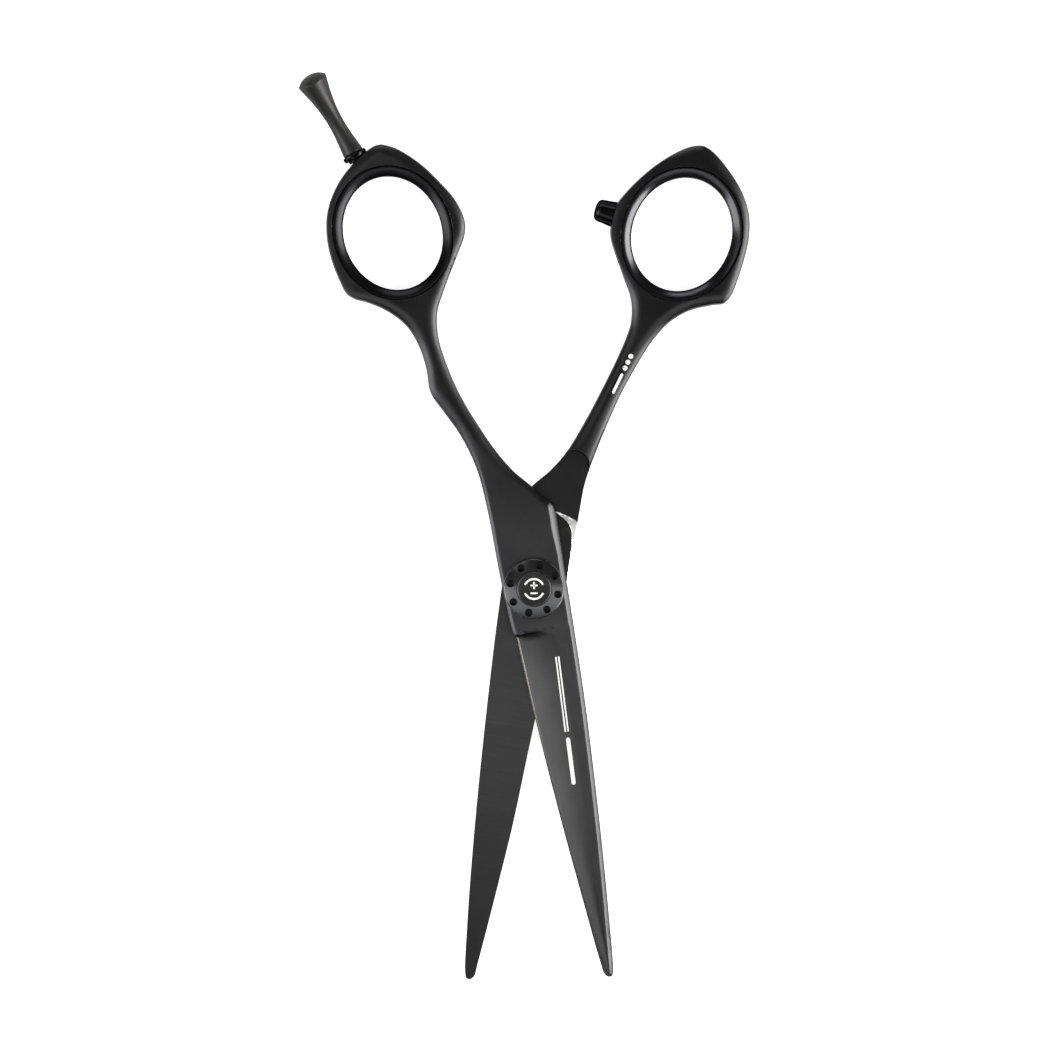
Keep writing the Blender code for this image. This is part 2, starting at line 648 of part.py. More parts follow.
def make_finger_rest(axis):
    """The horn, in its own frame with the stud along +Y."""
    radii = ((0.4, 1.72), (1.6, 1.68), (4.0, 1.47), (6.0, 1.38), (8.0, 1.43), (10.0, 1.64),
             (12.0, 2.0), (13.6, 2.38), (15.0, 2.7), (15.4, 2.6), (15.75, 2.1), (15.95, 1.2))
    segments = 20
    points, faces = [], []
    for s, radius in radii:
        along = (rest_centre(s + 0.01) - rest_centre(s - 0.01)).normalized()
        over = Vector((1, 0, 0)).cross(along)
        for i in range(segments):
            angle = 2 * math.pi * i / segments
            points.append(rest_centre(s) + radius * (
                math.cos(angle) * Vector((1, 0, 0)) + math.sin(angle) * over))
    for ring in range(len(radii) - 1):
        for i in range(segments):
            j = (i + 1) % segments
            low, high = ring * segments, (ring + 1) * segments
            faces.append((low + i, low + j, high + j, high + i))
    faces.append(tuple(reversed(range(segments))))
    faces.append(tuple(range(len(points) - segments, len(points))))
    rest = mesh_from("finger_rest", points, faces, COATED)
    rest.parent = axis
    cut(rest, along_y(rod_cutter("cut_rest_socket", STUD_R + FIT, -1, SOCKET_DEPTH, segments=20)))
    end = -RIM_DROP - STUD_DEPTH
    thread = []
    for i in range(3):
        thread += [(STUD_R, end + 0.25 + 0.6 * i), (STUD_ROOT, end + 0.55 + 0.6 * i)]
    stud = turned("finger_rest_stud", (
        (0, end), (STUD_ROOT - 0.1, end), *thread, (STUD_R, end + 2.05), (STUD_R, STUD_TOP), (0, STUD_TOP),
    ), STEEL, segments=20)
    along_y(stud).parent = axis


def make_rest_washer(slide):
    section = []
    for i in range(8):
        angle = 2 * math.pi * i / 8
        section.append((WASHER_MIDDLE_R + WASHER_WIDE * math.cos(angle), WASHER_HALF * math.sin(angle)))
    along_y(turned("finger_rest_washer", section, RUBBER, segments=24)).parent = slide


def make_bumper(side):
    bumper = turned("bumper", (
        (0, -1.5), (0.9, -1.5), (BUMPER_PLUG_R, -1.3), (BUMPER_PLUG_R, 0.1 - BUMPER_SINK),
        (2.22, 0.1 - BUMPER_SINK),
        (2.2, 0.3), (1.98, 1.3), (2.0, 2.2), (1.9, 2.85), (1.55, 3.25), (0.9, BUMPER_LENGTH),
        (0, BUMPER_LENGTH + 0.05),
    ), RUBBER, segments=20)
    along_y(bumper).parent = side
    bumper.location = (BUMPER_X * MM, BUMPER_Y * MM, MID * MM)
    bumper.rotation_euler.z = math.radians(BUMPER_ANGLE - 90)


for old in list(bpy.data.objects):
    bpy.data.objects.remove(old)

COATED = finish("coated_steel", (0.045, 0.045, 0.047), 0.38, 0.9)
DIAL_STEEL = finish("dial_steel", (0.07, 0.07, 0.072), 0.3, 1.0)
STEEL = finish("polished_steel", (0.55, 0.55, 0.56), 0.25, 1.0)
BRASS = finish("bearing_brass", (0.6, 0.45, 0.2), 0.35, 1.0)
RUBBER = finish("black_rubber", (0.012, 0.012, 0.013), 0.25, 0.0)
WASHER_WHITE = finish("washer_plastic", (0.8, 0.8, 0.78), 0.5, 0.0)

finger_side = pivot_empty("finger_side", turn=HALF_OPEN)
thumb_side = pivot_empty("thumb_side", turn=-HALF_OPEN)
dial_axis = pivot_empty("dial_axis")
rest_slide = pivot_empty("rest_slide", finger_side, (REST_X, REST_Y, MID), REST_ANGLE - 90)
rest_axis = pivot_empty("rest_axis", rest_slide)

make_finger_half(finger_side)
make_insert("finger_ring_insert", FINGER_OPENING, False, finger_side)
washer("pivot_bush", SHAFT_R + RUNNING, BUSH_R, BUSH_BASE, BUSH_TOP, BRASS).parent = finger_side
make_rest_washer(rest_slide)
make_finger_rest(rest_axis)
make_thumb_half(thumb_side)
make_insert("thumb_ring_insert", THUMB_OPENING, True, thumb_side)
make_bumper(thumb_side)
make_pivot(thumb_side)
make_dial(dial_axis)
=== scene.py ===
"""Looks for the hair cutting shears: fine surfaces, finishes, printed marks, light and camera.

Every shape is worked out in the frame of its own half, with the shears closed along Y and in
millimetres, and is turned into the row frame as its mesh is made.
"""

import math

import bmesh
import bpy
import numpy as np
from mathutils import Matrix, Vector
from mathutils.geometry import delaunay_2d_cdt


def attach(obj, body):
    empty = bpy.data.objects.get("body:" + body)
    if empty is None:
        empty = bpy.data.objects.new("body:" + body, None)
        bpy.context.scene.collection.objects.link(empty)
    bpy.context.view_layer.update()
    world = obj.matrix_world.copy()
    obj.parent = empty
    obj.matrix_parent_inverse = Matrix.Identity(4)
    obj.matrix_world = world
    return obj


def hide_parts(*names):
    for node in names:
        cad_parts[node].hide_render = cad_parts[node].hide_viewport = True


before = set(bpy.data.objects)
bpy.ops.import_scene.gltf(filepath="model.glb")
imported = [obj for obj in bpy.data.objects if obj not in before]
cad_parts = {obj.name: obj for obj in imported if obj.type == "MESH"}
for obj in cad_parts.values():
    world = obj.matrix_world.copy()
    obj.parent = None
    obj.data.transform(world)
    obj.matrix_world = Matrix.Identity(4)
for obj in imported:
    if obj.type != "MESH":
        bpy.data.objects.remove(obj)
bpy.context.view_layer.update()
MM = 0.001

# The halves, as the frame's solids have them: heights are over the plane where they meet
HALF_OPEN = 10.108  # degrees that each half stands open from the middle line
MID = 2.7  # height of the plane where the halves meet
FACE_GAP = 0.05
LAP_HEIGHT = 2.35
RING_HEIGHT = 2.7
HEEL_Y = -7.5
STEP_WIDTH = 0.3
TIP_Y = -70.0
TIP_THICKNESS = 1.15
EDGE_THICKNESS = 0.12
EDGE_BEVEL = 0.25
RIDGE_X = 2.1
RIDGE_TIP_X = 0.55
RIDGE_LEAN_Y = -18
RIDGE_ROUND = 1.6
GROUND_BULGE = 1.45
SPINE_CHAMFER = 0.9
HOLLOW_DEPTH = 0.10
BEVEL_LEFT = 0.6
BEVEL_RIGHT = 1.0
FACET_SLOPE = 0.57
STEEP_SLOPE = 0.8
FACET_SHARE = 0.52
SHANK_FROM, SHANK_TO = 14, 32
RING_FROM, RING_TO = 44, 56
DOME_WIDTH = 2.1
DOME_DROP = 0.72
DOME_EASE = 0.55  # share of the drop left out on the rings' outer side
RIM_WIDTH = 0.3
RIM_RISE = 0.9
EQUATOR = 0.15
CREASE = 0.10
MICRO = 0.07
LIP_MICRO = 0.06
INNER_MICRO = 0.04
SHOULDER_X = -3.4
SHOULDER_Y = 22.6
SHOULDER_R = 2.6
SHOULDER_WALL = 0.15
INSERT_BAND = 1.65
LIP_GAP = 0.1
RIB_INSET = 1.15
RIB_HEIGHT = 1.4
REBATE_WALL = 0.08
PIVOT_R = 2.6

FINGER_OUTLINE = (
    (-5.0, -7.45), (-4.7, -7.95), (-4.52, -11.0), (-4.27, -18.6), (-3.78, -28.8), (-2.97, -41.5),
    (-1.99, -54.2), (-0.91, -66.9), (-0.55, -69.2), (0.05, -69.85), (0.75, -69.7), (1.12, -68.6),
    (2.13, -59.5), (3.31, -46.8), (4.3, -34.0), (5.12, -21.3), (5.65, -8.5), (5.97, 2.0),
    (6.2, 9.0), (6.27, 12.6), (5.8, 14.35), (4.5, 15.7), (3.05, 17.8), (0.39, 21.1), (-1.8, 24.8),
    (-4.36, 30.6), (-6.5, 36.6), (-7.84, 42.8), (-8.21, 47.0), (-7.57, 51.2), (-5.59, 55.0),
    (-2.26, 60.4), (-0.3, 63.7), (0.23, 66.2), (-0.76, 70.2), (-2.92, 73.9), (-5.41, 77.4),
    (-8.42, 80.4), (-10.2, 81.6), (-12.1, 82.3), (-14.1, 81.8), (-18.3, 79.05), (-21.25, 76.0),
    (-23.36, 72.3), (-24.29, 68.2), (-24.27, 64.0), (-23.51, 59.8), (-22.8, 57.5), (-21.5, 56.2),
    (-19.6, 55.3), (-16.2, 53.0), (-13.4, 49.8), (-11.9, 45.8), (-11.4, 41.6), (-11.45, 37.5),
    (-9.7, 33.5), (-7.9, 29.6), (-6.6, 25.6), (-5.8, 21.4), (-5.46, 15.0), (-5.46, 2.4),
)
THUMB_OUTLINE = (
    (-5.0, -7.45), (-4.7, -7.95), (-4.5, -11.0), (-4.15, -18.6), (-3.68, -28.8), (-3.13, -41.5),
    (-2.14, -54.2), (-1.0, -66.9), (-0.72, -69.3), (-0.1, -69.95), (0.6, -69.85), (0.98, -68.9),
    (2.14, -59.1), (3.26, -46.4), (4.16, -33.6), (4.88, -20.9), (5.47, -8.1), (5.75, 2.0),
    (6.0, 9.0), (6.05, 12.4), (5.6, 14.3), (4.4, 15.9), (3.2, 18.0), (0.5, 21.2), (-1.7, 24.8),
    (-4.06, 30.7), (-6.1, 36.8), (-7.9, 42.8), (-8.9, 46.9), (-9.2, 49.3), (-8.6, 53.1),
    (-6.6, 56.9), (-4.5, 60.7), (-3.2, 63.5), (-2.87, 65.8), (-3.3, 69.3), (-4.4, 71.5),
    (-6.8, 74.9), (-9.6, 78.0), (-12.9, 80.7), (-14.8, 81.75), (-16.8, 82.15), (-18.8, 81.3),
    (-22.0, 78.55), (-24.8, 75.3), (-26.7, 71.6), (-27.4, 67.4), (-27.15, 63.2), (-26.5, 59.0),
    (-26.0, 56.9), (-24.9, 55.2), (-22.9, 54.55), (-19.0, 52.9), (-15.8, 50.2), (-13.5, 46.6),
    (-11.8, 42.7), (-9.65, 36.7), (-8.0, 30.5), (-6.6, 24.3), (-5.85, 19.8), (-5.72, 15.0),
    (-5.66, 2.4),
)
FINGER_OPENING = (-12.7, 66.45, 10.2, 8.7, 98.0)
THUMB_OPENING = (-15.55, 66.06, 10.18, 8.83, 99.0)
# The polished relief beside the ride flat of the thumb half: its inner edge, then its outer one
RELIEF_INNER = ((-1.3, 14.14), (-1.6, 13.97), (-2.49, 13.46), (-3.51, 12.91), (-4.22, 12.31), (-4.72, 11.5),
                (-5.1, 9.95), (-5.33, 8.19), (-5.42, 6.0), (-5.46, 3.6), (-5.52, 1.5))
RELIEF_OUTER = ((-6.6, 1.5), (-6.6, 12.4), (-5.7, 12.86), (-5.17, 13.18), (-3.83, 13.68), (-1.94, 14.08))

REST_X = -16.72
REST_Y = 81.2
REST_ANGLE = 109.0
REST_LENGTH = 15.4
REST_RISE = 2.25
REST_CAP_Y = 15.3
THREAD_Y = -2.7
THREAD_STEP = 0.4
BUMPER_X = 3.13
BUMPER_Y = 67.6
BUMPER_ANGLE = 173.1
BUMPER_LENGTH = 3.48
DIAL_R = 5.37
DIAL_BASE = 5.65
DIAL_TOP = 6.7
DIAL_HOLE_CIRCLE = 4.31
DIAL_HOLE_R = 0.675
DIAL_HOLE_PHASE = 31.5
DIAL_RIM = 0.18
CAP_R = 3.05
CAP_RIM = 0.18
CAP_SEAT = 6.25
CAP_TOP = 6.85
CAP_DISH = 0.06
SCREW_HOLE_X = 2.6
INK_ABOVE, INK_BELOW = 0.015, 0.03


def blend(a, b, share):
    return a + (b - a) * share


def smoothstep(low, high, value):
    share = np.clip((value - low) / (high - low), 0.0, 1.0)
    return share * share * (3 - 2 * share)


def soft_min(a, b, width):
    """The lower of two heights, with a small round where they cross."""
    share = np.clip(0.5 + 0.5 * (b - a) / width, 0, 1)
    return blend(b, a, share) - width * share * (1 - share)


# ---- Plan outlines


def smooth_line(points, fine=0.1, longest=0.6, turn=3.0, closed=True):
    """A curve through the points, sampled closely where it turns."""
    loop = np.array(points, float)
    samples = []
    count = len(loop)
    for i in range(count if closed else count - 1):
        if closed:
            p0, p1, p2, p3 = (loop[(i + k) % count] for k in (-1, 0, 1, 2))
        else:
            p1, p2 = loop[i], loop[i + 1]
            p0 = loop[i - 1] if i else 2 * p1 - p2
            p3 = loop[i + 2] if i + 2 < count else 2 * p2 - p1
        t1 = np.linalg.norm(p1 - p0) ** 0.5
        t2 = t1 + np.linalg.norm(p2 - p1) ** 0.5
        t3 = t2 + np.linalg.norm(p3 - p2) ** 0.5
        steps = max(2, int(np.linalg.norm(p2 - p1) / fine))
        for t in np.linspace(t1, t2, steps, endpoint=False):
            a1 = p0 * (t1 - t) / t1 + p1 * t / t1
            a2 = p1 * (t2 - t) / (t2 - t1) + p2 * (t - t1) / (t2 - t1)
            a3 = p2 * (t3 - t) / (t3 - t2) + p3 * (t - t2) / (t3 - t2)
            b1 = a1 * (t2 - t) / t2 + a2 * t / t2
            b2 = a2 * (t3 - t) / (t3 - t1) + a3 * (t - t1) / (t3 - t1)
            samples.append(b1 * (t2 - t) / (t2 - t1) + b2 * (t - t1) / (t2 - t1))
    if not closed:
        samples.append(loop[-1])
    samples = np.array(samples)
    kept = [samples[0]]
    heading = samples[1] - samples[0]
    for here, after in zip(samples[1:-1], samples[2:]):
        step = after - here
        cosine = np.dot(heading, step) / (np.linalg.norm(heading) * np.linalg.norm(step))
        turned = math.degrees(math.acos(np.clip(cosine, -1, 1)))
        if turned > turn or np.linalg.norm(here - kept[-1]) > longest:
            kept.append(here)
            heading = step
    if not closed:
        kept.append(samples[-1])
    return np.array(kept)


def inward_normals(loop):
    tangent = np.roll(loop, -1, axis=0) - np.roll(loop, 1, axis=0)
    tangent /= np.linalg.norm(tangent, axis=1)[:, None]
    return np.stack([-tangent[:, 1], tangent[:, 0]], axis=1)


def distance_to(line, points, closed=True):
    """Distance from each point to the outline, worked through in blocks to save memory."""
    ends = np.roll(line, -1, axis=0) if closed else line[1:]
    start = (line if closed else line[:-1])[None]
    side = ends[None] - start
    found = []
    for block in np.array_split(points, max(1, len(points) // 2000)):
        offset = block[:, None] - start
        share = np.clip((offset * side).sum(2) / (side * side).sum(2), 0, 1)
        found.append(np.linalg.norm(offset - share[..., None] * side, axis=2).min(1))
    return np.concatenate(found)


def inside(loop, points):
    x1, y1 = loop[None, :, 0], loop[None, :, 1]
    x2, y2 = np.roll(loop, -1, axis=0).T[:, None]
    rise = np.where(y2 == y1, 1.0, y2 - y1)
    found = []
    for block in np.array_split(points, max(1, len(points) // 2000)):
        x, y = block[:, None, 0], block[:, None, 1]
        crosses = (y1 > y) != (y2 > y)
        found.append((crosses & (x < (x2 - x1) * (y - y1) / rise + x1)).sum(1) % 2 == 1)
    return np.concatenate(found)


def ellipse(opening, grow, count):
    cx, cy, long, short, angle = opening
    turn = math.radians(angle)
    along = np.array([math.cos(turn), math.sin(turn)])
    across = np.array([-along[1], along[0]])
    t = np.arange(count)[:, None] * (2 * math.pi / count)
    normal = np.cos(t) / long * along + np.sin(t) / short * across
    normal /= np.linalg.norm(normal, axis=1)[:, None]
    points = np.array([cx, cy]) + np.cos(t) * long * along + np.sin(t) * short * across
    return points + grow * normal, normal


def circle(cx, cy, radius, count=64):
    t = np.arange(count) * (2 * math.pi / count)
    return np.stack([cx + radius * np.cos(t), cy + radius * np.sin(t)], axis=1)


# ---- Heights of a half


def bevel_width(x, y):
    """Width of the bevel beside the lap: even on the left, swelling below the right upper corner."""
    centre = blend(0.0, -4.0, smoothstep(12, 26, y))
    right = np.interp(y, (5, 10, 12.5, 15, 17, 21), (BEVEL_RIGHT, 1.35, 1.3, 0.75, 0.8, BEVEL_RIGHT))
    return np.where(x < centre, BEVEL_LEFT, right)


class Half:
    """One half of the shears: its outline, its finger opening and the heights of its two faces."""

    def __init__(self, points, opening, turned_over):
        self.outline = smooth_line(points)
        self.opening = opening
        self.turned_over = turned_over
        lowest = int(np.argmin(self.outline[:, 1]))
        self.edge_line = self.outline[: lowest + 1]
        spine = self.outline[lowest:]
        self.spine_line = spine[: int(np.argmax(spine[:, 1] > 5)) + 1]
        self.relief_line = smooth_line(RELIEF_INNER, closed=False)
        self.relief = np.concatenate([self.relief_line, RELIEF_OUTER])

    def across(self, y):
        """X of the cutting edge and of the back at each Y of the blade."""
        edge = np.interp(-y, -self.edge_line[:, 1], self.edge_line[:, 0])
        return edge, np.interp(y, self.spine_line[:, 1], self.spine_line[:, 0])

    def ridge(self, y):
        share = np.clip((HEEL_Y - STEP_WIDTH - y) / RIDGE_ROUND, 0, 1)
        corner = RIDGE_ROUND * (1 - np.sqrt(1 - (1 - share) ** 2))
        return blend(RIDGE_X, RIDGE_TIP_X, smoothstep(RIDGE_LEAN_Y, TIP_Y, y)) - corner

    def thickness(self, y):
        return blend(LAP_HEIGHT - FACE_GAP, TIP_THICKNESS, np.clip(y / TIP_Y, 0, 1))

    def micro(self, depth, radius=MICRO):
        """How far a tiny round lowers the face close to its rim."""
        near = np.clip(radius - depth, 0, radius)
        return radius - np.sqrt(radius * radius - near * near)

    def two_facets(self, height, depth, width):
        """A bevel of two flats: a shallow one next to the face, then a steep one at the rim."""
        shallow = height - FACET_SLOPE * (width - depth)
        turn = width * (1 - FACET_SHARE)
        steep = height - FACET_SLOPE * (width - turn) - STEEP_SLOPE * (turn - depth)
        return soft_min(height, soft_min(shallow, steep, CREASE), 1.6 * CREASE)

    def handle(self, x, y, depth, width):
        """Height of a shank or ring: two facets beside the lap, turning into a dome up the shank."""
        height = blend(LAP_HEIGHT, RING_HEIGHT, smoothstep(RING_FROM, RING_TO, y))
        shank = smoothstep(SHANK_FROM, SHANK_TO, y)
        bevel = self.two_facets(height, depth, width)
        leftward = (x - self.opening[0]) * (1 if self.turned_over else -1)
        drop = DOME_DROP * (1 - DOME_EASE * smoothstep(52, 60, y) * smoothstep(2, 7, leftward))
        dome = height - drop * np.clip(1 - depth / DOME_WIDTH, 0, 1) ** 2
        share = np.clip(depth / RIM_WIDTH, 0, 1)
        rim = EQUATOR + (height - drop - EQUATOR) * np.sqrt(1 - (1 - share) ** 2) + RIM_RISE * depth
        return blend(bevel, soft_min(dome, rim, CREASE), shank)

    def outer(self, x, y, depth):
        """Height of the outer side: the lap and handle, and the ground blade beyond the heel step."""
        handle = self.handle(x, y, depth, bevel_width(x, y))
        edge, back = self.across(y)
        thick = self.thickness(y)
        ridge = np.maximum(self.ridge(y), edge + 0.5)
        share = np.clip((x - edge - EDGE_BEVEL) / (ridge - edge - EDGE_BEVEL), 0, 1)
        low = EDGE_THICKNESS + EDGE_BEVEL
        ground = low + (thick - low) * (1 - (1 - share) ** GROUND_BULGE)
        near = np.clip((x - edge) / EDGE_BEVEL, 0, 1)
        blade = np.where(near < 1, blend(EDGE_THICKNESS, low, near), ground)
        spine = self.two_facets(thick, depth, SPINE_CHAMFER)
        on_back = back - x < 2.2 * SPINE_CHAMFER
        blade = FACE_GAP + np.where(on_back, soft_min(blade, spine, CREASE), blade)
        flat = soft_min(FACE_GAP + thick, handle, 0.02)
        share = smoothstep(0, STEP_WIDTH, HEEL_Y - y)
        left = np.where(x < self.ridge(np.minimum(y, HEEL_Y)), blend(flat, blade, share), blade)
        above = np.where(y < 0, np.minimum(handle, LAP_HEIGHT), handle)
        height = np.where(y > HEEL_Y, above, left)
        rim = np.where((y < HEEL_Y) & (x < edge + 1), 0.0, self.micro(depth))
        return height - rim

    def inner(self, x, y, depth):
        """Height of the side that faces the other half: flat to the shoulder, and full beyond it."""
        edge, back = self.across(y)
        across = np.clip((x - edge) / np.maximum(back - edge, 1e-6), 0, 1)
        hollow = HOLLOW_DEPTH * np.clip(4 * across * (1 - across) - 0.3, 0, 1) * smoothstep(-9, -14, y)
        lap = -FACE_GAP - hollow - self.micro(depth, INNER_MICRO)
        if self.turned_over:
            cut = inside(self.relief, np.stack([x, y], axis=1))
            fall = 0.06 + 0.12 * distance_to(self.relief_line, np.stack([x, y], axis=1), closed=False)
            lap = np.where(cut, lap - fall, lap)
        full = self.handle(x, np.maximum(y, SHANK_TO), depth, DOME_WIDTH)
        full = np.where(y < RING_FROM, np.minimum(full, LAP_HEIGHT), full)
        reach = np.hypot(x - SHOULDER_X, y - SHOULDER_Y) - SHOULDER_R
        beyond = np.where(y > SHOULDER_Y, smoothstep(0, SHOULDER_WALL, reach), 0.0)
        rim = np.where(y > SHOULDER_Y, self.micro(np.clip(reach - SHOULDER_WALL, 0, 1), 0.12), 0)
        return blend(lap, full - rim, beyond)

    def faces(self, flat):
        """Outer and inner heights over the middle plane at each plan point."""
        x, y = flat.T
        depth = distance_to(self.outline, flat)
        wall, _ = ellipse(self.opening, INSERT_BAND + LIP_GAP + REBATE_WALL, 300)
        low_wall, _ = ellipse(self.opening, INSERT_BAND + LIP_GAP + REBATE_WALL / 2, 300)
        rebate = inside(low_wall, flat)
        lip = self.micro(distance_to(wall, flat), LIP_MICRO)
        outer = np.where(rebate, RIB_HEIGHT, self.outer(x, y, depth) - lip)
        inner = np.where(rebate, RIB_HEIGHT, self.inner(x, y, depth) - lip)
        return outer, inner, depth

    def place(self, points):
        """From the half's drawn position to its place when closed."""
        if self.turned_over:
            return points * (-1, 1, -1) + (0, 0, 2 * MID)
        return points

    def fill(self, width, wall_grow):
        """Loose points for the plan: rows beside the outline and the features, and a coarse grid."""
        outline = self.outline
        normals = inward_normals(outline)
        loose = []
        for share in (0.012, 0.045, 0.11, 0.2, 0.32, 0.46, 0.6, 0.74, 0.86, 0.94, 1.0, 1.06, 1.15, 1.3, 1.5):
            depth = share * width
            moved = outline + depth[:, None] * normals
            loose.append(moved[distance_to(outline, moved) > 0.97 * depth])
        for grow in (0.03, 0.07, 0.12, 0.2, 0.45):
            loose.append(ellipse(self.opening, wall_grow + grow, 200)[0])
        ys = np.arange(TIP_Y + 1.5, HEEL_Y - STEP_WIDTH, 0.9)
        edge, _ = self.across(ys)
        for share in (0.15, 0.3, 0.45, 0.6, 0.75, 0.9):
            loose.append(np.stack([blend(edge, self.ridge(ys), share), ys], axis=1))
        for beside in (-0.2, 0.0, 0.2, 1.0):
            loose.append(np.stack([self.ridge(ys) + beside, ys], axis=1))
        for share in np.linspace(0, 1, 8):
            xs = np.arange(-4.9, RIDGE_X + 0.4, 0.35)
            loose.append(np.stack([xs, np.full(len(xs), HEEL_Y - share * STEP_WIDTH)], axis=1))
        for radius in np.linspace(SHOULDER_R, SHOULDER_R + SHOULDER_WALL + 0.15, 8):
            arc = circle(SHOULDER_X, SHOULDER_Y, radius, 72)
            loose.append(arc[arc[:, 1] > SHOULDER_Y - 0.1])
        if self.turned_over:
            patch = np.array([(x, y) for x in np.arange(-6.4, -1, 0.22) for y in np.arange(1.5, 14.4, 0.22)])
            loose.append(patch[inside(self.relief, patch)])
        grid = np.concatenate([[(x, y) for x in np.arange(-28, 8, 1.27) + (k % 2) * 0.63]
                               for k, y in enumerate(np.arange(-70, 84, 1.1))])
        loose.append(grid[distance_to(outline, grid) > 2.75])
        spare = np.concatenate(loose)
        spare = spare[inside(outline, spare)]
        return spare[distance_to(outline, spare) > 0.004]

    def plan(self):
        """A triangulation of the plan, dense along the outline and the features."""
        outline = self.outline
        width = blend(bevel_width(*outline.T), DOME_WIDTH, smoothstep(SHANK_FROM, SHANK_TO, outline[:, 1]))
        on_edge = (outline[:, 1] < HEEL_Y) & (np.arange(len(outline)) < len(self.edge_line))
        on_spine = (outline[:, 1] < 0) & ~on_edge
        width = np.where(on_edge, 0.5, np.where(on_spine, SPINE_CHAMFER, width))
        grows = (RIB_INSET, INSERT_BAND + LIP_GAP, INSERT_BAND + LIP_GAP + REBATE_WALL)
        rib, lip, wall = (ellipse(self.opening, grow, 200)[0] for grow in grows)
        pivot = circle(0, 0, PIVOT_R)
        points, edges = [], []

        def add(chain, closed):
            base, size = len(points), len(chain)
            points.extend(tuple(p) for p in chain)
            last = size if closed else size - 1
            edges.extend((base + i, base + (i + 1) % size) for i in range(last))

        for loop in (outline, rib, lip, wall, pivot):
            add(loop, True)
        if self.turned_over:
            ends = smooth_line(RELIEF_OUTER[2:], closed=False)
            for line in (self.relief_line, ends):
                add(line[inside(outline, line)], False)
        spare = self.fill(width, grows[2])
        spare = spare[~inside(rib, spare) & ~inside(pivot, spare)]
        plan = delaunay_2d_cdt([Vector(p) for p in points + [tuple(p) for p in spare]],
                               edges, [], 0, 1e-4)
        flat = np.array([tuple(v) for v in plan[0]])
        triangles = np.array([tuple(f) for f in plan[2]])
        centre = flat[triangles].mean(axis=1)
        keep = inside(outline, centre) & ~inside(rib, centre) & ~inside(pivot, centre)
        used, triangles = np.unique(triangles[keep], return_inverse=True)
        return flat[used], triangles.reshape(-1, 3)

    def top(self, spots):
        """Row-frame height of the upper side at points given in the half's closed position."""
        flat = np.array(spots, float) * ((-1, 1) if self.turned_over else (1, 1))
        outer, inner, _ = self.faces(flat)
        return MID + (inner if self.turned_over else outer)


FINGER = Half(FINGER_OUTLINE, FINGER_OPENING, False)
THUMB = Half(THUMB_OUTLINE, THUMB_OPENING, True)
OPEN = {"finger": Matrix.Rotation(math.radians(HALF_OPEN), 4, "Z"),
        "thumb": Matrix.Rotation(math.radians(-HALF_OPEN), 4, "Z")}


# ---- Meshes


def linked(name, data):
    thing = bpy.data.objects.new(name, data)
    bpy.context.scene.collection.objects.link(thing)
    return thing


def new_mesh(name, points, faces):
    """A mesh from points in millimetres."""
    mesh = bpy.data.meshes.new(name)
    mesh.from_pydata([Vector(p) * MM for p in points], [], faces)
    return mesh


def cleaned(mesh, thin=True):
    """Joins points that coincide, and turns every face outwards."""
    work = bmesh.new()
    work.from_mesh(mesh)
    bmesh.ops.remove_doubles(work, verts=work.verts, dist=1e-8)
    if thin:
        bmesh.ops.dissolve_degenerate(work, edges=work.edges, dist=1e-8)
    bmesh.ops.recalc_face_normals(work, faces=work.faces)
    work.to_mesh(mesh)
    work.free()
    return mesh


def as_piece(name, mesh, material, body, place=None, replaced=(), sharp=30):
    """The mesh as an object on a body. place is the object's matrix, in metres."""
    mesh.shade_smooth()
    mesh.set_sharp_from_angle(angle=math.radians(sharp))
    mesh.materials.append(material)
    thing = linked(name, mesh)
    if place is not None:
        thing.matrix_world = place
    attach(thing, body)
    if replaced:
        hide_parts(*replaced)
    return thing


def piece(name, points, faces, material, body, place=None, replaced=(), sharp=30):
    mesh = cleaned(new_mesh(name, points, faces))
    return as_piece(name, mesh, material, body, place, replaced, sharp)


def slab_faces(triangles, count, base=0):
    """A plan's triangles above, the same ones turned over below, and walls along the border."""
    faces = [tuple(base + t) for t in triangles] + [tuple(base + count + t[::-1]) for t in triangles]
    directed = {(int(t[i]), int(t[(i + 1) % 3])) for t in triangles for i in range(3)}
    for a, b in sorted(directed):
        if (b, a) not in directed:
            faces.append((base + a, base + a + count, base + b + count, base + b))
    return faces


def wrapped_faces(turns, size, closed=True, skip=()):
    """Quads between neighbouring copies of a section of size points, set round in a full turn."""
    sides = [k for k in range(size if closed else size - 1) if k not in skip]
    faces = []
    for i in range(turns):
        here, after = i * size, (i + 1) % turns * size
        for k in sides:
            m = (k + 1) % size
            faces.append((here + k, after + k, after + m, here + m))
    return faces


def shift(x, y, z, turn=0.0):
    return Matrix.Translation(Vector((x, y, z)) * MM) @ Matrix.Rotation(math.radians(turn), 4, "Z")


def half_piece(half, name, body, place, material):
    """A whole half: its plan raised to both heights, with the masks that its finish reads."""
    flat, triangles = half.plan()
    outer, inner, depth = half.faces(flat)
    upper = half.place(np.column_stack([flat, MID + outer]))
    lower = half.place(np.column_stack([flat, MID - inner]))
    faces = slab_faces(triangles, len(flat))
    mesh = new_mesh(name, np.concatenate([upper, lower]), faces)
    for label, values in finish_masks(half, flat, depth).items():
        mesh.attributes.new(label, "FLOAT", "POINT").data.foreach_set("value", values)
    polished = np.zeros(len(faces), np.float32)
    if half.turned_over:
        below = slice(len(triangles), 2 * len(triangles))
        polished[below] = inside(half.relief, flat[triangles].mean(axis=1))
    mesh.attributes.new("polish", "FLOAT", "FACE").data.foreach_set("value", polished)
    as_piece(name, mesh, material, body, place, (body,), 38)


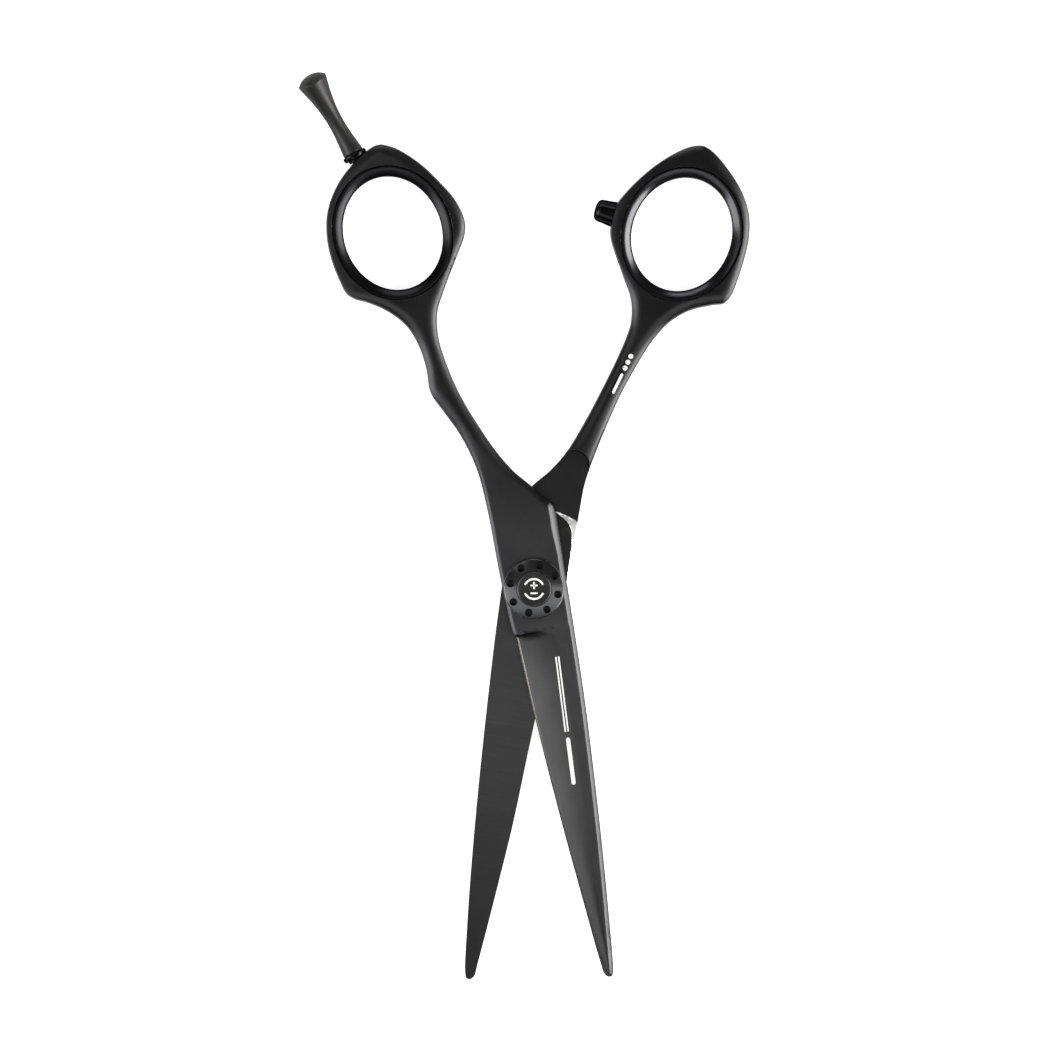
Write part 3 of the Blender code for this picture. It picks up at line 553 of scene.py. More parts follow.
# The Y from which each finish starts to show, and the Y where it shows in full. Three of them paint light
# into the colour: a painted highlight down the middle of the front blade's ground face, painted shade over
# the thumb half's inner flat with a warm tint of wear where the other half rides, and painted shade towards
# the tips of the inner faces.
FADES = {
    "honed": (-34, -12), "bevel": (26, 12), "ground": (4, -2), "painted_sheen": (-8, -19), "painted_sheen_end": (-62, -30),
    "matte": (0, 6), "painted_shade_and_ride_wear_end": (30, 18), "handle": (18, 34), "far": (-15, -60),
}


def finish_masks(half, flat, depth):
    """Where the edge is honed bright, where the bevels are, where the face is ground across, and where
    highlight and shade are painted into the colour.
    """
    x, y = flat.T
    edge, back = half.across(y)
    fade = {label: smoothstep(*ends, y) for label, ends in FADES.items()}
    blade = smoothstep(HEEL_Y + 0.1, HEEL_Y - 0.3, y)
    honed = blade * smoothstep(0.30, 0.2, x - edge) * fade["honed"]
    width = np.where((y < HEEL_Y) & (x > 0), SPINE_CHAMFER, bevel_width(x, y))
    bevel = smoothstep(width + 0.06, width - 0.06, depth) * fade["bevel"]
    bevel = np.where((y < HEEL_Y) & (x - edge < 0.5 * (back - edge)), 0.0, bevel)
    face = blade * smoothstep(0.3, -0.3, x - half.ridge(y))
    # Painted highlight: the front blade's ground face is lightened in its middle, fading out at the heel and
    # towards the tip.
    painted_sheen = fade["painted_sheen"] * fade["painted_sheen_end"]
    # Painted shade over the thumb half's inner flat, from the pivot up to the shoulder, which also carries a
    # warm tint of wear where the other half rides.
    matte = fade["matte"] * fade["painted_shade_and_ride_wear_end"] if half.turned_over else 0 * y
    none = np.zeros(len(x))
    # The far fade paints shade on the ground inner faces towards their tips.
    above_and_below = {
        "honed": (honed, none), "bevel": (bevel, none), "ground": (none, fade["ground"]),
        "face": (face, none), "painted_sheen": (painted_sheen, none), "matte": (none, matte),
        "handle": (fade["handle"], fade["handle"]), "far": (none, fade["far"]),
    }
    return {label: np.concatenate(pair).astype(np.float32) for label, pair in above_and_below.items()}


def turned(name, profile, material, body, slot, segments=96, place=None, replaced=(),
           along_y=False, sharp=30):
    """A closed profile of (radius, height) turned about Z, or laid along Y."""
    points = []
    for i in range(segments):
        angle = 2 * math.pi * i / segments
        for radius, height in profile:
            spot = (radius * math.cos(angle), radius * math.sin(angle), height)
            points.append((spot[0], spot[2], -spot[1]) if along_y else spot)
    size = len(profile)
    on_axis = [k for k in range(size) if profile[k][0] == 0 and profile[(k + 1) % size][0] == 0]
    faces = wrapped_faces(segments, size, skip=on_axis)
    return piece(name, points, faces, material, body, place, replaced, sharp)


def rounded_profile(corners, radius=0.06, steps=4):
    """A closed (radius, height) profile with every corner off the axis rounded a little."""
    made = []
    count = len(corners)
    for i, corner in enumerate(corners):
        here = np.array(corner, float)
        before, after = (np.array(corners[(i + k) % count], float) for k in (-1, 1))
        if corner[0] == 0:
            made.append(tuple(here))
            continue
        reach_in, reach_out = before - here, after - here
        cut = min(radius, 0.45 * np.linalg.norm(reach_in), 0.45 * np.linalg.norm(reach_out))
        start = here + reach_in / np.linalg.norm(reach_in) * cut
        end = here + reach_out / np.linalg.norm(reach_out) * cut
        for t in np.linspace(0, 1, steps):
            made.append(tuple((1 - t) ** 2 * start + 2 * t * (1 - t) * here + t * t * end))
    return made


# ---- Finishes


class Nodes:
    """Shorthand for building a material's node tree."""

    def __init__(self, name):
        self.material = bpy.data.materials.new(name)
        self.material.use_nodes = True
        self.tree = self.material.node_tree
        self.shader = self.tree.nodes["Principled BSDF"]
        self.coords = self.add("ShaderNodeTexCoord").outputs["Object"]

    def add(self, kind, **settings):
        node = self.tree.nodes.new(kind)
        for key, value in settings.items():
            setattr(node, key, value)
        return node

    def link(self, source, target):
        self.tree.links.new(source, target)

    def math(self, operation, a, b=None, clamp=False):
        node = self.add("ShaderNodeMath", operation=operation, use_clamp=clamp)
        for socket, value in zip(node.inputs, (a, b)):
            if value is not None:
                self.put(socket, value)
        return node.outputs[0]

    def noise(self, scale, detail=4.0, stretch=(1, 1, 1), roughness=0.55):
        mapping = self.add("ShaderNodeMapping")
        mapping.inputs["Scale"].default_value = stretch
        self.link(self.coords, mapping.inputs["Vector"])
        node = self.add("ShaderNodeTexNoise")
        node.inputs["Scale"].default_value = scale
        node.inputs["Detail"].default_value = detail
        node.inputs["Roughness"].default_value = roughness
        self.link(mapping.outputs[0], node.inputs["Vector"])
        return node.outputs["Fac"]

    def ramp(self, value, low, high, out_low, out_high):
        node = self.add("ShaderNodeMapRange", clamp=True)
        for key, number in zip(("From Min", "From Max", "To Min", "To Max"), (low, high, out_low, out_high)):
            node.inputs[key].default_value = number
        self.link(value, node.inputs["Value"])
        return node.outputs[0]

    def put(self, socket, value):
        """A colour, a number or another node's output, given to a socket."""
        if isinstance(value, tuple):
            socket.default_value = (*value, 1.0)
        elif isinstance(value, (int, float)):
            socket.default_value = value
        else:
            self.link(value, socket)

    def mix(self, share, a, b):
        """Two colours mixed by share."""
        node = self.add("ShaderNodeMix", data_type="RGBA")
        for index, value in ((0, share), (6, a), (7, b)):
            self.put(node.inputs[index], value)
        return node.outputs[2]

    def between(self, share, a, b):
        """Two numbers mixed by share."""
        node = self.add("ShaderNodeMix", data_type="FLOAT")
        for index, value in ((0, share), (2, a), (3, b)):
            self.put(node.inputs[index], value)
        return node.outputs[0]

    def attribute(self, name):
        return self.add("ShaderNodeAttribute", attribute_name=name).outputs["Fac"]

    def bump(self, height, strength, distance, before=None):
        node = self.add("ShaderNodeBump")
        node.inputs["Strength"].default_value = strength
        node.inputs["Distance"].default_value = distance
        self.link(height, node.inputs["Height"])
        if before is not None:
            self.link(before, node.inputs["Normal"])
        return node.outputs[0]

    def set(self, **values):
        for key, value in values.items():
            self.put(self.shader.inputs[key.replace("_", " ")], value)


def coated_steel():
    """Satin black coating: brighter on bevels and honed edges, ground across on the inner faces, with a
    painted highlight on the front blade's ground face and painted shade on the thumb half's inner flat and
    towards the tips of the inner faces.
    """
    m = Nodes("coated_steel_finish")
    cloud = m.noise(160, 5)
    grit = m.noise(9000, 3)
    lines = m.noise(1000, 4, stretch=(0.05, 7.0, 1.0), roughness=0.7)
    bands = m.noise(160, 2, stretch=(0.2, 1.6, 1.0))
    polish, ground = m.attribute("polish"), m.attribute("ground")
    bevel, honed = m.attribute("bevel"), m.attribute("honed")
    coat = m.mix(m.ramp(cloud, 0.3, 0.7, 0, 1), (0.040, 0.040, 0.042), (0.050, 0.050, 0.052))
    # Painted highlight on the front blade's ground face: lighter in its middle, darker at the heel and
    # towards the tip.
    painted_sheen_tone = m.mix(m.attribute("painted_sheen"), (0.036, 0.036, 0.037), (0.062, 0.061, 0.061))
    painted_sheen_tone = m.mix(m.ramp(cloud, 0.3, 0.7, 0, 0.2), painted_sheen_tone, (0.045, 0.045, 0.045))
    coat = m.mix(m.attribute("face"), coat, painted_sheen_tone)
    speck = m.ramp(m.noise(2600, 2), 0.70, 0.78, 0.0, 0.35)
    coat = m.mix(speck, coat, (0.13, 0.13, 0.13))
    streak = m.mix(m.ramp(lines, 0.3, 0.7, 0, 1), (0.042, 0.041, 0.042), (0.056, 0.054, 0.055))
    streak = m.mix(m.ramp(bands, 0.35, 0.65, 0, 0.3), streak, (0.036, 0.035, 0.036))
    # Painted shade: the ground inner faces grow darker towards their tips.
    streak = m.mix(m.math("MULTIPLY", m.attribute("far"), 0.6), streak, (0.024, 0.0235, 0.024))
    colour = m.mix(ground, coat, streak)
    # Painted shade on the thumb half's inner flat, a little warm for the wear of the ride patch.
    colour = m.mix(m.math("MULTIPLY", m.attribute("matte"), 0.7), colour, (0.026, 0.0245, 0.024))
    colour = m.mix(honed, colour, (0.32, 0.29, 0.25))
    colour = m.mix(polish, colour, (0.95, 0.95, 0.95))
    m.set(Base_Color=colour, Metallic=1.0, Specular_Tint=(0.55, 0.55, 0.55))
    rough = m.ramp(cloud, 0.2, 0.8, 0.36, 0.44)
    rough = m.between(m.attribute("handle"), rough, m.ramp(cloud, 0.2, 0.8, 0.30, 0.36))
    rough = m.between(bevel, rough, 0.28)
    rough = m.between(honed, rough, 0.25)
    m.set(Roughness=m.between(polish, rough, 0.35))
    fine = m.bump(grit, 0.22, 0.00002)
    m.set(Normal=m.bump(m.math("MULTIPLY", lines, ground), 0.25, 0.00002, fine))
    return m.material


def satin_steel(name="satin_steel_finish", tone=0.046, roughness=0.44):
    """The same coating on a cast piece with no masks: the horn, its end and the dial's cap."""
    m = Nodes(name)
    cloud = m.noise(240, 5)
    speck = m.ramp(m.noise(3000, 2), 0.70, 0.78, 0.0, 0.3)
    low, high = (tuple(share * tone * c for c in (1.0, 0.99, 0.99)) for share in (0.85, 1.15))
    coat = m.mix(m.ramp(cloud, 0.3, 0.7, 0, 1), low, high)
    m.set(Base_Color=m.mix(speck, coat, (2 * tone, 2 * tone, 2 * tone)), Metallic=1.0)
    m.set(Specular_Tint=(0.6, 0.6, 0.6))
    m.set(Roughness=m.ramp(cloud, 0.2, 0.8, roughness - 0.05, roughness + 0.05))
    m.set(Normal=m.bump(m.noise(9000, 3), 0.25, 0.00002))
    return m.material


def dial_steel():
    """Dark metal turned on a lathe: its highlight fans out from the middle."""
    m = Nodes("dial_steel_finish")
    split = m.add("ShaderNodeSeparateXYZ")
    m.link(m.coords, split.inputs[0])
    square = m.math("ADD", m.math("POWER", split.outputs[0], 2.0), m.math("POWER", split.outputs[1], 2.0))
    radius = m.math("SQRT", square)
    rings = m.add("ShaderNodeTexNoise", noise_dimensions="1D")
    rings.inputs["Scale"].default_value = 9000
    rings.inputs["Detail"].default_value = 3
    m.link(radius, rings.inputs["W"])
    tone = m.ramp(rings.outputs["Fac"], 0.3, 0.7, 0, 1)
    m.set(Base_Color=m.mix(tone, (0.085, 0.086, 0.088), (0.120, 0.121, 0.124)), Metallic=1.0)
    m.set(Roughness=m.ramp(m.noise(300), 0.3, 0.7, 0.18, 0.24), Anisotropic=0.7, Anisotropic_Rotation=0.25)
    tangent = m.add("ShaderNodeTangent", direction_type="RADIAL", axis="Z")
    m.link(tangent.outputs[0], m.shader.inputs["Tangent"])
    m.set(Normal=m.bump(rings.outputs["Fac"], 0.15, 0.00002))
    return m.material


def bright_steel(name="bright_steel_finish", tint=(0.55, 0.55, 0.56)):
    m = Nodes(name)
    lines = m.noise(2500, 3, stretch=(1, 1, 0.1))
    darker = tuple(0.75 * c for c in tint)
    m.set(Base_Color=m.mix(m.ramp(lines, 0.3, 0.7, 0, 1), darker, tint), Metallic=1.0)
    m.set(Roughness=m.ramp(lines, 0.3, 0.7, 0.18, 0.34))
    m.set(Normal=m.bump(lines, 0.15, 0.00002))
    return m.material


def black_rubber(name="black_rubber_finish", tone=0.045, roughness=0.28):
    """Glossy black: reflective as a very dark metal, so that its rims stay dark."""
    m = Nodes(name)
    cloud = m.noise(300, 4)
    low, high = (tuple(share * tone * c for c in (1.0, 1.0, 1.08)) for share in (0.9, 1.1))
    m.set(Base_Color=m.mix(m.ramp(cloud, 0.3, 0.7, 0, 1), low, high))
    m.set(Metallic=1.0, Specular_Tint=(0.05, 0.05, 0.05))
    m.set(Roughness=m.ramp(cloud, 0.25, 0.75, roughness - 0.03, roughness + 0.03))
    m.set(Normal=m.bump(m.noise(2500, 3), 0.04, 0.00002))
    return m.material


def bore_painted_shade():
    """Near-black metal inside the drilled holes and on the thread: painted shade in the recesses and in the
    gap under the finger rest's washer.
    """
    m = Nodes("bore_painted_shade_finish")
    cloud = m.noise(1500, 4)
    m.set(Base_Color=m.mix(m.ramp(cloud, 0.3, 0.7, 0, 1), (0.007, 0.007, 0.007), (0.016, 0.016, 0.016)))
    m.set(Metallic=1.0, Roughness=m.ramp(cloud, 0.3, 0.7, 0.35, 0.5), Specular_Tint=(0.12, 0.12, 0.12))
    m.set(Normal=m.bump(cloud, 0.2, 0.00002))
    return m.material


def white_print():
    m = Nodes("white_print")
    cover = m.noise(6000, 3)
    m.set(Base_Color=m.mix(m.ramp(cover, 0.35, 0.65, 0, 1), (0.84, 0.84, 0.83), (0.93, 0.93, 0.92)))
    m.set(Roughness=m.ramp(cover, 0.3, 0.7, 0.5, 0.65))
    m.set(Normal=m.bump(cover, 0.1, 0.00001))
    return m.material


def washer_plastic():
    m = Nodes("washer_plastic_finish")
    cloud = m.noise(700, 4)
    m.set(Base_Color=m.mix(m.ramp(cloud, 0.3, 0.7, 0, 1), (0.74, 0.74, 0.72), (0.82, 0.82, 0.80)))
    m.set(Roughness=m.ramp(cloud, 0.3, 0.7, 0.45, 0.6))
    m.set(Normal=m.bump(cloud, 0.1, 0.00002))
    return m.material


COATED = coated_steel()
SATIN = satin_steel()
# A darker copy of the satin coating for the horn's domed end and the dial's cap: painted shade.
CAP_PAINTED_SHADE = satin_steel("cap_painted_shade_finish", 0.036, 0.36)
DIAL = dial_steel()
BRIGHT = bright_steel()
# A lighter copy of the satin coating on the dial cap's outer chamfer: a painted highlight for its thin bright
# rim line.
RIM_PAINTED_HIGHLIGHT = satin_steel("rim_painted_highlight_finish", 0.085, 0.36)
BRASS = bright_steel("bearing_brass_finish", (0.62, 0.46, 0.22))
# The ring liners are the same glossy black: the finger liner's darker copy is painted shade and the thumb
# liner's lighter copy is a painted highlight.
LINER_PAINTED_SHADE = black_rubber("liner_painted_shade_finish", 0.022, 0.27)
LINER_PAINTED_HIGHLIGHT = black_rubber("liner_painted_highlight_finish", 0.050, 0.2)
GLOSS = black_rubber("glossy_stop_finish", 0.020, 0.2)
BORE_PAINTED_SHADE = bore_painted_shade()
PRINT = white_print()
PLASTIC = washer_plastic()


# ---- The pieces


def make_halves():
    half_piece(FINGER, "finger_body", "finger_half", OPEN["finger"], COATED)
    half_piece(THUMB, "thumb_body", "thumb_half", OPEN["thumb"], COATED)


def make_insert(name, half, body, place, material):
    """The glossy liner: a domed band that clips over the ring's rib."""
    corners = [(-0.03, 0.0), (-0.03, 1.1), (0.0, 1.42), (0.06, 1.58), (0.3, 1.78), (0.6, 1.97), (0.9, 2.13),
               (1.2, 2.27), (1.45, 2.35), (1.6, 2.38), (1.7, 2.34), (1.74, 2.2)]
    top = smooth_line(corners, fine=0.03, longest=0.12, turn=5, closed=False)
    hook = np.array([(1.74, RIB_HEIGHT + LIP_GAP), (RIB_INSET - LIP_GAP, RIB_HEIGHT + LIP_GAP)])
    section = np.concatenate([top, hook])
    section = np.concatenate([section, (section * (1, -1))[::-1][:-1]])
    start, normal = ellipse(half.opening, 0.0, 200)
    points = []
    for p, n in zip(start, normal):
        for reach, height in section:
            x, y = p + n * reach
            points.append((-x if half.turned_over else x, y, MID + height))
    faces = wrapped_faces(len(start), len(section))
    piece(name + "_liner", points, faces, material, body, place, (name,), 40)


def make_bumper():
    """The rubber stop: a waisted plug with its stem in the ring."""
    corners = ((2.24, -0.5), (2.26, 0.1), (2.2, 0.6), (2.1, 1.3), (2.04, 2.0), (1.96, 2.6), (1.75, 3.02),
               (1.35, 3.3), (0.7, 3.45), (0.0, BUMPER_LENGTH))
    plug = smooth_line(corners, 0.05, 0.15, 5, closed=False)
    profile = [(0, -1.4), (0.95, -1.4), (0.95, -0.5)] + [tuple(p) for p in plug]
    profile[-1] = (0.0, BUMPER_LENGTH)
    turned("bumper_stop", profile, GLOSS, "thumb_half", "black_rubber", 64,
           OPEN["thumb"] @ shift(BUMPER_X, BUMPER_Y, MID, BUMPER_ANGLE - 90), ("bumper",), along_y=True)


def make_horn(place):
    """The finger rest: straight in plan, flared and rising towards its domed end."""
    corners = ((0.40, 1.6), (0.5, 1.8), (1.6, 1.74), (4.0, 1.5), (6.0, 1.4), (8.0, 1.44), (10.0, 1.65),
               (12.0, 2.0), (13.6, 2.38), (14.7, 2.66), (15.0, 2.70), (15.16, 2.64), (15.24, 2.5),
               (15.5, 2.2), (15.85, 1.6), (16.05, 0.9), (16.1, 0.02))
    shape = smooth_line(corners, 0.05, 0.4, 5, closed=False)
    segments = 72
    points, faces = [], []

    def centre(s):
        return Vector((0, s, REST_RISE * (s / REST_LENGTH) ** 2))

    for s, radius in shape:
        along = (centre(s + 0.01) - centre(s - 0.01)).normalized()
        over = Vector((1, 0, 0)).cross(along)
        for i in range(segments):
            angle = 2 * math.pi * i / segments
            ring_spot = math.cos(angle) * Vector((1, 0, 0)) + math.sin(angle) * over
            points.append(centre(s) + float(radius) * ring_spot)
    for ring in range(len(shape) - 1):
        for i in range(segments):
            j = (i + 1) % segments
            low, high = ring * segments, (ring + 1) * segments
            faces.append((low + i, low + j, high + j, high + i))
    faces.append(tuple(reversed(range(segments))))
    faces.append(tuple(range(len(points) - segments, len(points))))
    horn = piece("finger_rest_horn", points, faces, SATIN, "finger_rest", place,
                 ("finger_rest",), 40)
    # The domed end takes the darker copy of the coating: painted shade.
    horn.data.materials.append(CAP_PAINTED_SHADE)
    for face in horn.data.polygons:
        face.material_index = int(face.center.y > REST_CAP_Y * MM)


def make_finger_rest():
    """The horn, its threaded stud and the washer between it and the ring."""
    place = OPEN["finger"] @ shift(REST_X, REST_Y, MID, REST_ANGLE - 90)
    make_horn(place)
    thread = [(0, -2.85), (0.7, -2.85)]
    for i in range(4):
        thread += [(1.0, THREAD_Y + THREAD_STEP * i + 0.1), (0.84, THREAD_Y + THREAD_STEP * i + 0.3)]
    thread += [(0.9, -1.05), (1.45, -1.0), (1.55, -0.9), (1.55, -0.3), (0, -0.3)]
    # The stud takes the near-black finish: painted shade in the gap under the washer.
    turned("finger_rest_thread", thread, BORE_PAINTED_SHADE, "finger_rest", "polished_steel", 48, place,
           ("finger_rest_stud",), along_y=True)
    washer = rounded_profile(((1.6, -0.52), (2.1, -0.52), (2.2, 0.1), (2.12, 0.38), (1.05, 0.38),
                              (1.05, -0.25), (1.6, -0.25)), 0.14, 5)
    turned("finger_rest_ring", washer, GLOSS, "rest_washer", "black_rubber", 72, place,
           ("finger_rest_washer",), along_y=True, sharp=50)


def cut_with(thing, cutters):
    """Applies Boolean cuts of turned cutters, then frees them."""
    for cutter in cutters:
        modifier = thing.modifiers.new("cut", "BOOLEAN")
        modifier.operation = "DIFFERENCE"
        modifier.solver = "EXACT"
        modifier.material_mode = "TRANSFER"
        modifier.object = cutter
    bpy.context.view_layer.update()
    graph = bpy.context.evaluated_depsgraph_get()
    made = bpy.data.meshes.new_from_object(thing.evaluated_get(graph))
    thing.modifiers.clear()
    thing.data = made
    made.shade_smooth()
    made.set_sharp_from_angle(angle=math.radians(30))
    for cutter in cutters:
        bpy.data.objects.remove(cutter)


def drill(x, y, radius, bottom, top, sink):
    """A cutter: a blind round hole with a cone at its foot and a small countersink of width sink."""
    segments = 40
    profile = ((0, bottom - 0.35 * radius), (radius, bottom), (radius, top - sink), (radius + sink, top),
               (radius + sink, top + 1), (0, top + 1))
    points = []
    for i in range(segments):
        angle = 2 * math.pi * i / segments
        points += [(x + r * math.cos(angle), y + r * math.sin(angle), z) for r, z in profile]
    mesh = new_mesh("drill", points, wrapped_faces(segments, len(profile), closed=False))
    # The hole walls take the near-black finish: painted shade inside the holes.
    mesh.materials.append(BORE_PAINTED_SHADE)
    return linked("drill", cleaned(mesh, thin=False))


def make_dial():
    """The tension dial: a shallow cone with eight blind holes, and the dished cap in its middle."""
    corners = ((1.6, 6.0), (3.4, 6.0), (3.4, DIAL_BASE), (DIAL_R - 0.15, DIAL_BASE),
               (DIAL_R, DIAL_BASE + 0.15), (DIAL_R, DIAL_TOP - 0.72), (DIAL_R - DIAL_RIM, DIAL_TOP - 0.56),
               (CAP_R + 0.08, DIAL_TOP), (CAP_R + 0.08, CAP_SEAT), (1.6, CAP_SEAT))
    dial = turned("dial_body", rounded_profile(corners, 0.05), DIAL, "tension_dial", "dial_steel", 128,
                  replaced=("tension_dial",))
    holes = []
    for i in range(8):
        angle = math.radians(DIAL_HOLE_PHASE + 45 * i)
        x, y = DIAL_HOLE_CIRCLE * math.cos(angle), DIAL_HOLE_CIRCLE * math.sin(angle)
        holes.append(drill(x, y, DIAL_HOLE_R, DIAL_BASE + 0.3, DIAL_TOP - 0.24, 0.03))
    cut_with(dial, holes)
    cap = rounded_profile(((0, CAP_SEAT + 0.06), (CAP_R, CAP_SEAT + 0.06), (CAP_R, CAP_TOP - 0.1),
                           (CAP_R - 0.12, CAP_TOP), (CAP_R - 0.2, CAP_TOP),
                           (CAP_R - 0.28, CAP_TOP - CAP_DISH), (0, CAP_TOP - CAP_DISH)), 0.03)
    # The cap disc takes the darker copy of the coating: painted shade.
    disc = turned("dial_cap_disc", cap, CAP_PAINTED_SHADE, "tension_dial", "coated_steel", 96, replaced=("dial_cap",))
    # Its outer chamfer takes the lighter copy: a painted highlight along the rim.
    disc.data.materials.append(RIM_PAINTED_HIGHLIGHT)
    for face in disc.data.polygons:
        face.material_index = int(face.center.xy.length > (CAP_R - CAP_RIM) * MM)


def make_screw():
    """The pivot screw, with two holes for a pin spanner in its head."""
    corners = ((0, 0), (4.2, 0), (4.5, 0.3), (4.5, 0.95), (2.1, 0.95), (2.1, 5.5), (1.35, 5.6),
               (1.35, 6.18), (0, 6.18))
    screw = turned("pivot_screw_body", rounded_profile(corners, 0.05), BRIGHT, "thumb_half", "polished_steel",
                   96, OPEN["thumb"], ("pivot_screw",))
    cutters = []
    for x in (-SCREW_HOLE_X, SCREW_HOLE_X):
        cutter = drill(x, 0, 0.5, -0.45, 0.0, 0.06)
        cutter.data.transform(Matrix.Scale(-1, 4, (0, 0, 1)))
        cutter.data.flip_normals()
        cutter.matrix_world = OPEN["thumb"]
        cutters.append(cutter)
    cut_with(screw, cutters)


# ---- Printed marks


def bar_outline(length, width):
    """A bar with round ends, along X from 0."""
    r = width / 2
    t = np.linspace(-90, 90, 9)
    ends = [(length - r + r * math.cos(math.radians(a)), r * math.sin(math.radians(a))) for a in t]
    ends += [(r - r * math.cos(math.radians(a)), -r * math.sin(math.radians(a))) for a in t]
    return ends


def arc_outline(radius, width, start, end):
    t = np.radians(np.linspace(start, end, 24))
    outer = [((radius + width / 2) * math.cos(a), (radius + width / 2) * math.sin(a)) for a in t]
    inner = [((radius - width / 2) * math.cos(a), (radius - width / 2) * math.sin(a)) for a in t[::-1]]
    return outer + inner


def printed(name, shapes, surface, body, place):
    """White ink: closed outlines laid on a surface, a hair thicker than it."""
    points, faces = [], []
    for shape in shapes:
        shape = np.array(shape, float)
        (left, bottom), (right, top) = shape.min(0), shape.max(0)
        step = max(0.3, 0.5 * min(right - left, top - bottom))
        grid = np.array([(x, y) for x in np.arange(left, right, step) for y in np.arange(bottom, top, step)])
        keep = grid[inside(shape, grid) & (distance_to(shape, grid) > 0.08)] if len(grid) else grid
        spots = [Vector(p) for p in shape] + [Vector(p) for p in keep]
        loop = [(i, (i + 1) % len(shape)) for i in range(len(shape))]
        plan = delaunay_2d_cdt(spots, loop, [], 0, 1e-5)
        flat = np.array([tuple(v) for v in plan[0]])
        triangles = np.array([tuple(f) for f in plan[2]])
        triangles = triangles[inside(shape, flat[triangles].mean(axis=1))]
        height = surface(flat)
        faces += slab_faces(triangles, len(flat), len(points))
        points += [tuple(p) for p in np.column_stack([flat, height + INK_ABOVE])]
        points += [tuple(p) for p in np.column_stack([flat, height - INK_BELOW])]
    piece(name, points, faces, PRINT, body, place)


def moved(shape, x, y, turn):
    c, s = math.cos(math.radians(turn)), math.sin(math.radians(turn))
    return [(x + c * p - s * q, y + s * p + c * q) for p, q in shape]


def make_marks():
    """Plain ornaments in place of printed names: a broken line on the blade, dots and a bar on the shank."""
    down_the_blade = -93.55
    stripe = [moved(bar_outline(13.4, 0.26), x, -12.5, down_the_blade) for x in (2.02, 1.52)]
    stripe.append(moved(bar_outline(8.4, 0.72), 0.93, -26.9, down_the_blade))
    printed("blade_stripes", stripe, FINGER.top, "finger_half", OPEN["finger"])
    dots = []
    for k in range(3):
        dots.append([(10.16 - 0.33 * k + 0.43 * math.cos(t), 43.29 - 1.105 * k + 0.43 * math.sin(t))
                     for t in np.linspace(0, 2 * math.pi, 24, endpoint=False)])
    dots.append(moved(bar_outline(3.9, 0.5), 9.2, 40.05, -106.5))
    printed("shank_dots", dots, THUMB.top, "thumb_half", OPEN["thumb"])
    icon = [arc_outline(1.75, 0.34, 25, 155), arc_outline(1.75, 0.34, 205, 335)]
    icon += [moved(bar_outline(1.3, 0.3), -0.65, 0.62, 0), moved(bar_outline(1.3, 0.3), 0, -0.03, 90)]
    icon += [moved(bar_outline(1.3, 0.3), -0.65, -0.75, 0)]
    printed("dial_icon", icon, lambda flat: np.full(len(flat), CAP_TOP - CAP_DISH), "tension_dial", None)


# ---- Setting


def make_floor():
    """White paper that glows a little, so that the background stays clean."""
    work = bmesh.new()
    bmesh.ops.create_grid(work, x_segments=8, y_segments=8, size=3.0)
    mesh = bpy.data.meshes.new("floor")
    work.to_mesh(mesh)
    work.free()
    m = Nodes("floor_paper")
    cloud = m.noise(8, 3)
    m.set(Base_Color=m.mix(m.ramp(cloud, 0.3, 0.7, 0, 1), (0.90, 0.90, 0.90), (0.92, 0.92, 0.92)))
    m.set(Roughness=m.ramp(cloud, 0.3, 0.7, 0.85, 0.95))
    m.set(Emission_Color=(1.0, 1.0, 1.0), Emission_Strength=0.8)
    mesh.materials.append(m.material)
    floor = linked("floor", mesh)
    floor.location.z = -0.1 * MM


def panel(name, place, target, width, height, radiance, tint=(1, 1, 1)):
    """A softbox of a given size and radiance, hidden from the camera itself."""
    light = bpy.data.lights.new(name, "AREA")
    light.shape = "RECTANGLE"
    light.size, light.size_y = width, height
    light.energy = radiance * math.pi * width * height
    light.color = tint
    lamp = linked(name, light)
    lamp.location = place
    lamp.rotation_euler = (Vector(target) - Vector(place)).to_track_quat("-Z", "Y").to_euler()
    lamp.visible_camera = False


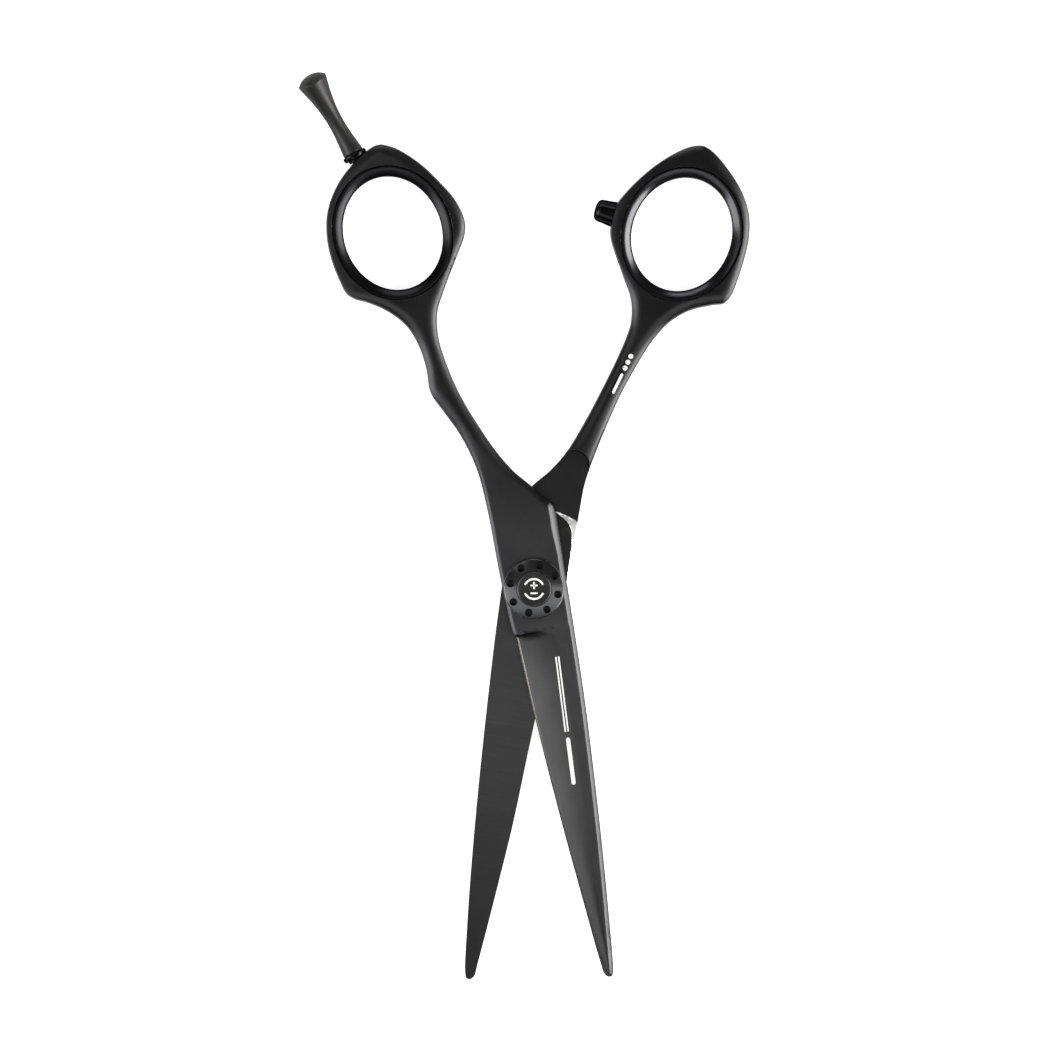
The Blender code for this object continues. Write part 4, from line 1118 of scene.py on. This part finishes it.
def make_light():
    world = bpy.data.worlds.new("studio")
    bpy.context.scene.world = world
    world.use_nodes = True
    back = world.node_tree.nodes["Background"]
    back.inputs["Color"].default_value = (1.0, 1.0, 1.0, 1.0)
    back.inputs["Strength"].default_value = 0.12
    panel("overhead", (-0.005, -0.033, 0.13), (-0.005, -0.033, 0), 0.2, 0.08, 1.3)
    panel("ring_panel", (-0.055, 0.094, 0.12), (-0.04, 0.08, 0), 0.06, 0.06, 0.75)
    panel("right_box", (0.75, -0.08, 0.42), (0, 0, 0), 0.9, 0.35, 11, (1.0, 0.98, 0.95))
    panel("left_box", (-0.68, -0.1, 0.42), (0, 0, 0), 0.4, 0.55, 5)
    panel("back_box", (-0.1, 0.8, 0.42), (0, 0, 0), 0.6, 0.2, 2.6)


VIEW_MM = 185.29  # width of the picture at the middle plane
VIEW_X, VIEW_Y = -1.77, 11.46
VIEW_ROLL = 0.727
CAMERA_HEIGHT = 1.4


def make_camera():
    camera = bpy.data.cameras.new("camera")
    camera.sensor_width = 36
    camera.lens = 36 * CAMERA_HEIGHT / (VIEW_MM * MM)
    camera.clip_start, camera.clip_end = 0.01, 20
    thing = linked("camera", camera)
    turn = Matrix.Rotation(math.radians(-VIEW_ROLL), 4, "Z")
    thing.matrix_world = turn @ Matrix.Translation((VIEW_X * MM, VIEW_Y * MM, CAMERA_HEIGHT + MID * MM))
    bpy.context.scene.camera = thing


make_halves()
# Darker and lighter copies of one glossy black: painted shade on the finger liner, a painted highlight on the
# thumb liner.
make_insert("finger_ring_insert", FINGER, "finger_half", OPEN["finger"], LINER_PAINTED_SHADE)
make_insert("thumb_ring_insert", THUMB, "thumb_half", OPEN["thumb"], LINER_PAINTED_HIGHLIGHT)
make_bumper()
make_finger_rest()
make_dial()
make_screw()
make_marks()
for node, material in (("pivot_bush", BRASS), ("thrust_washer", BRASS), ("ride_washer", PLASTIC),
                       ("click_plate", BRIGHT), ("wave_washer", BRIGHT)):
    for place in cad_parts[node].material_slots:
        place.material = material
make_floor()
make_light()
make_camera()
bpy.context.scene.view_settings.view_transform = "Standard"
bpy.context.scene.view_settings.look = "None"
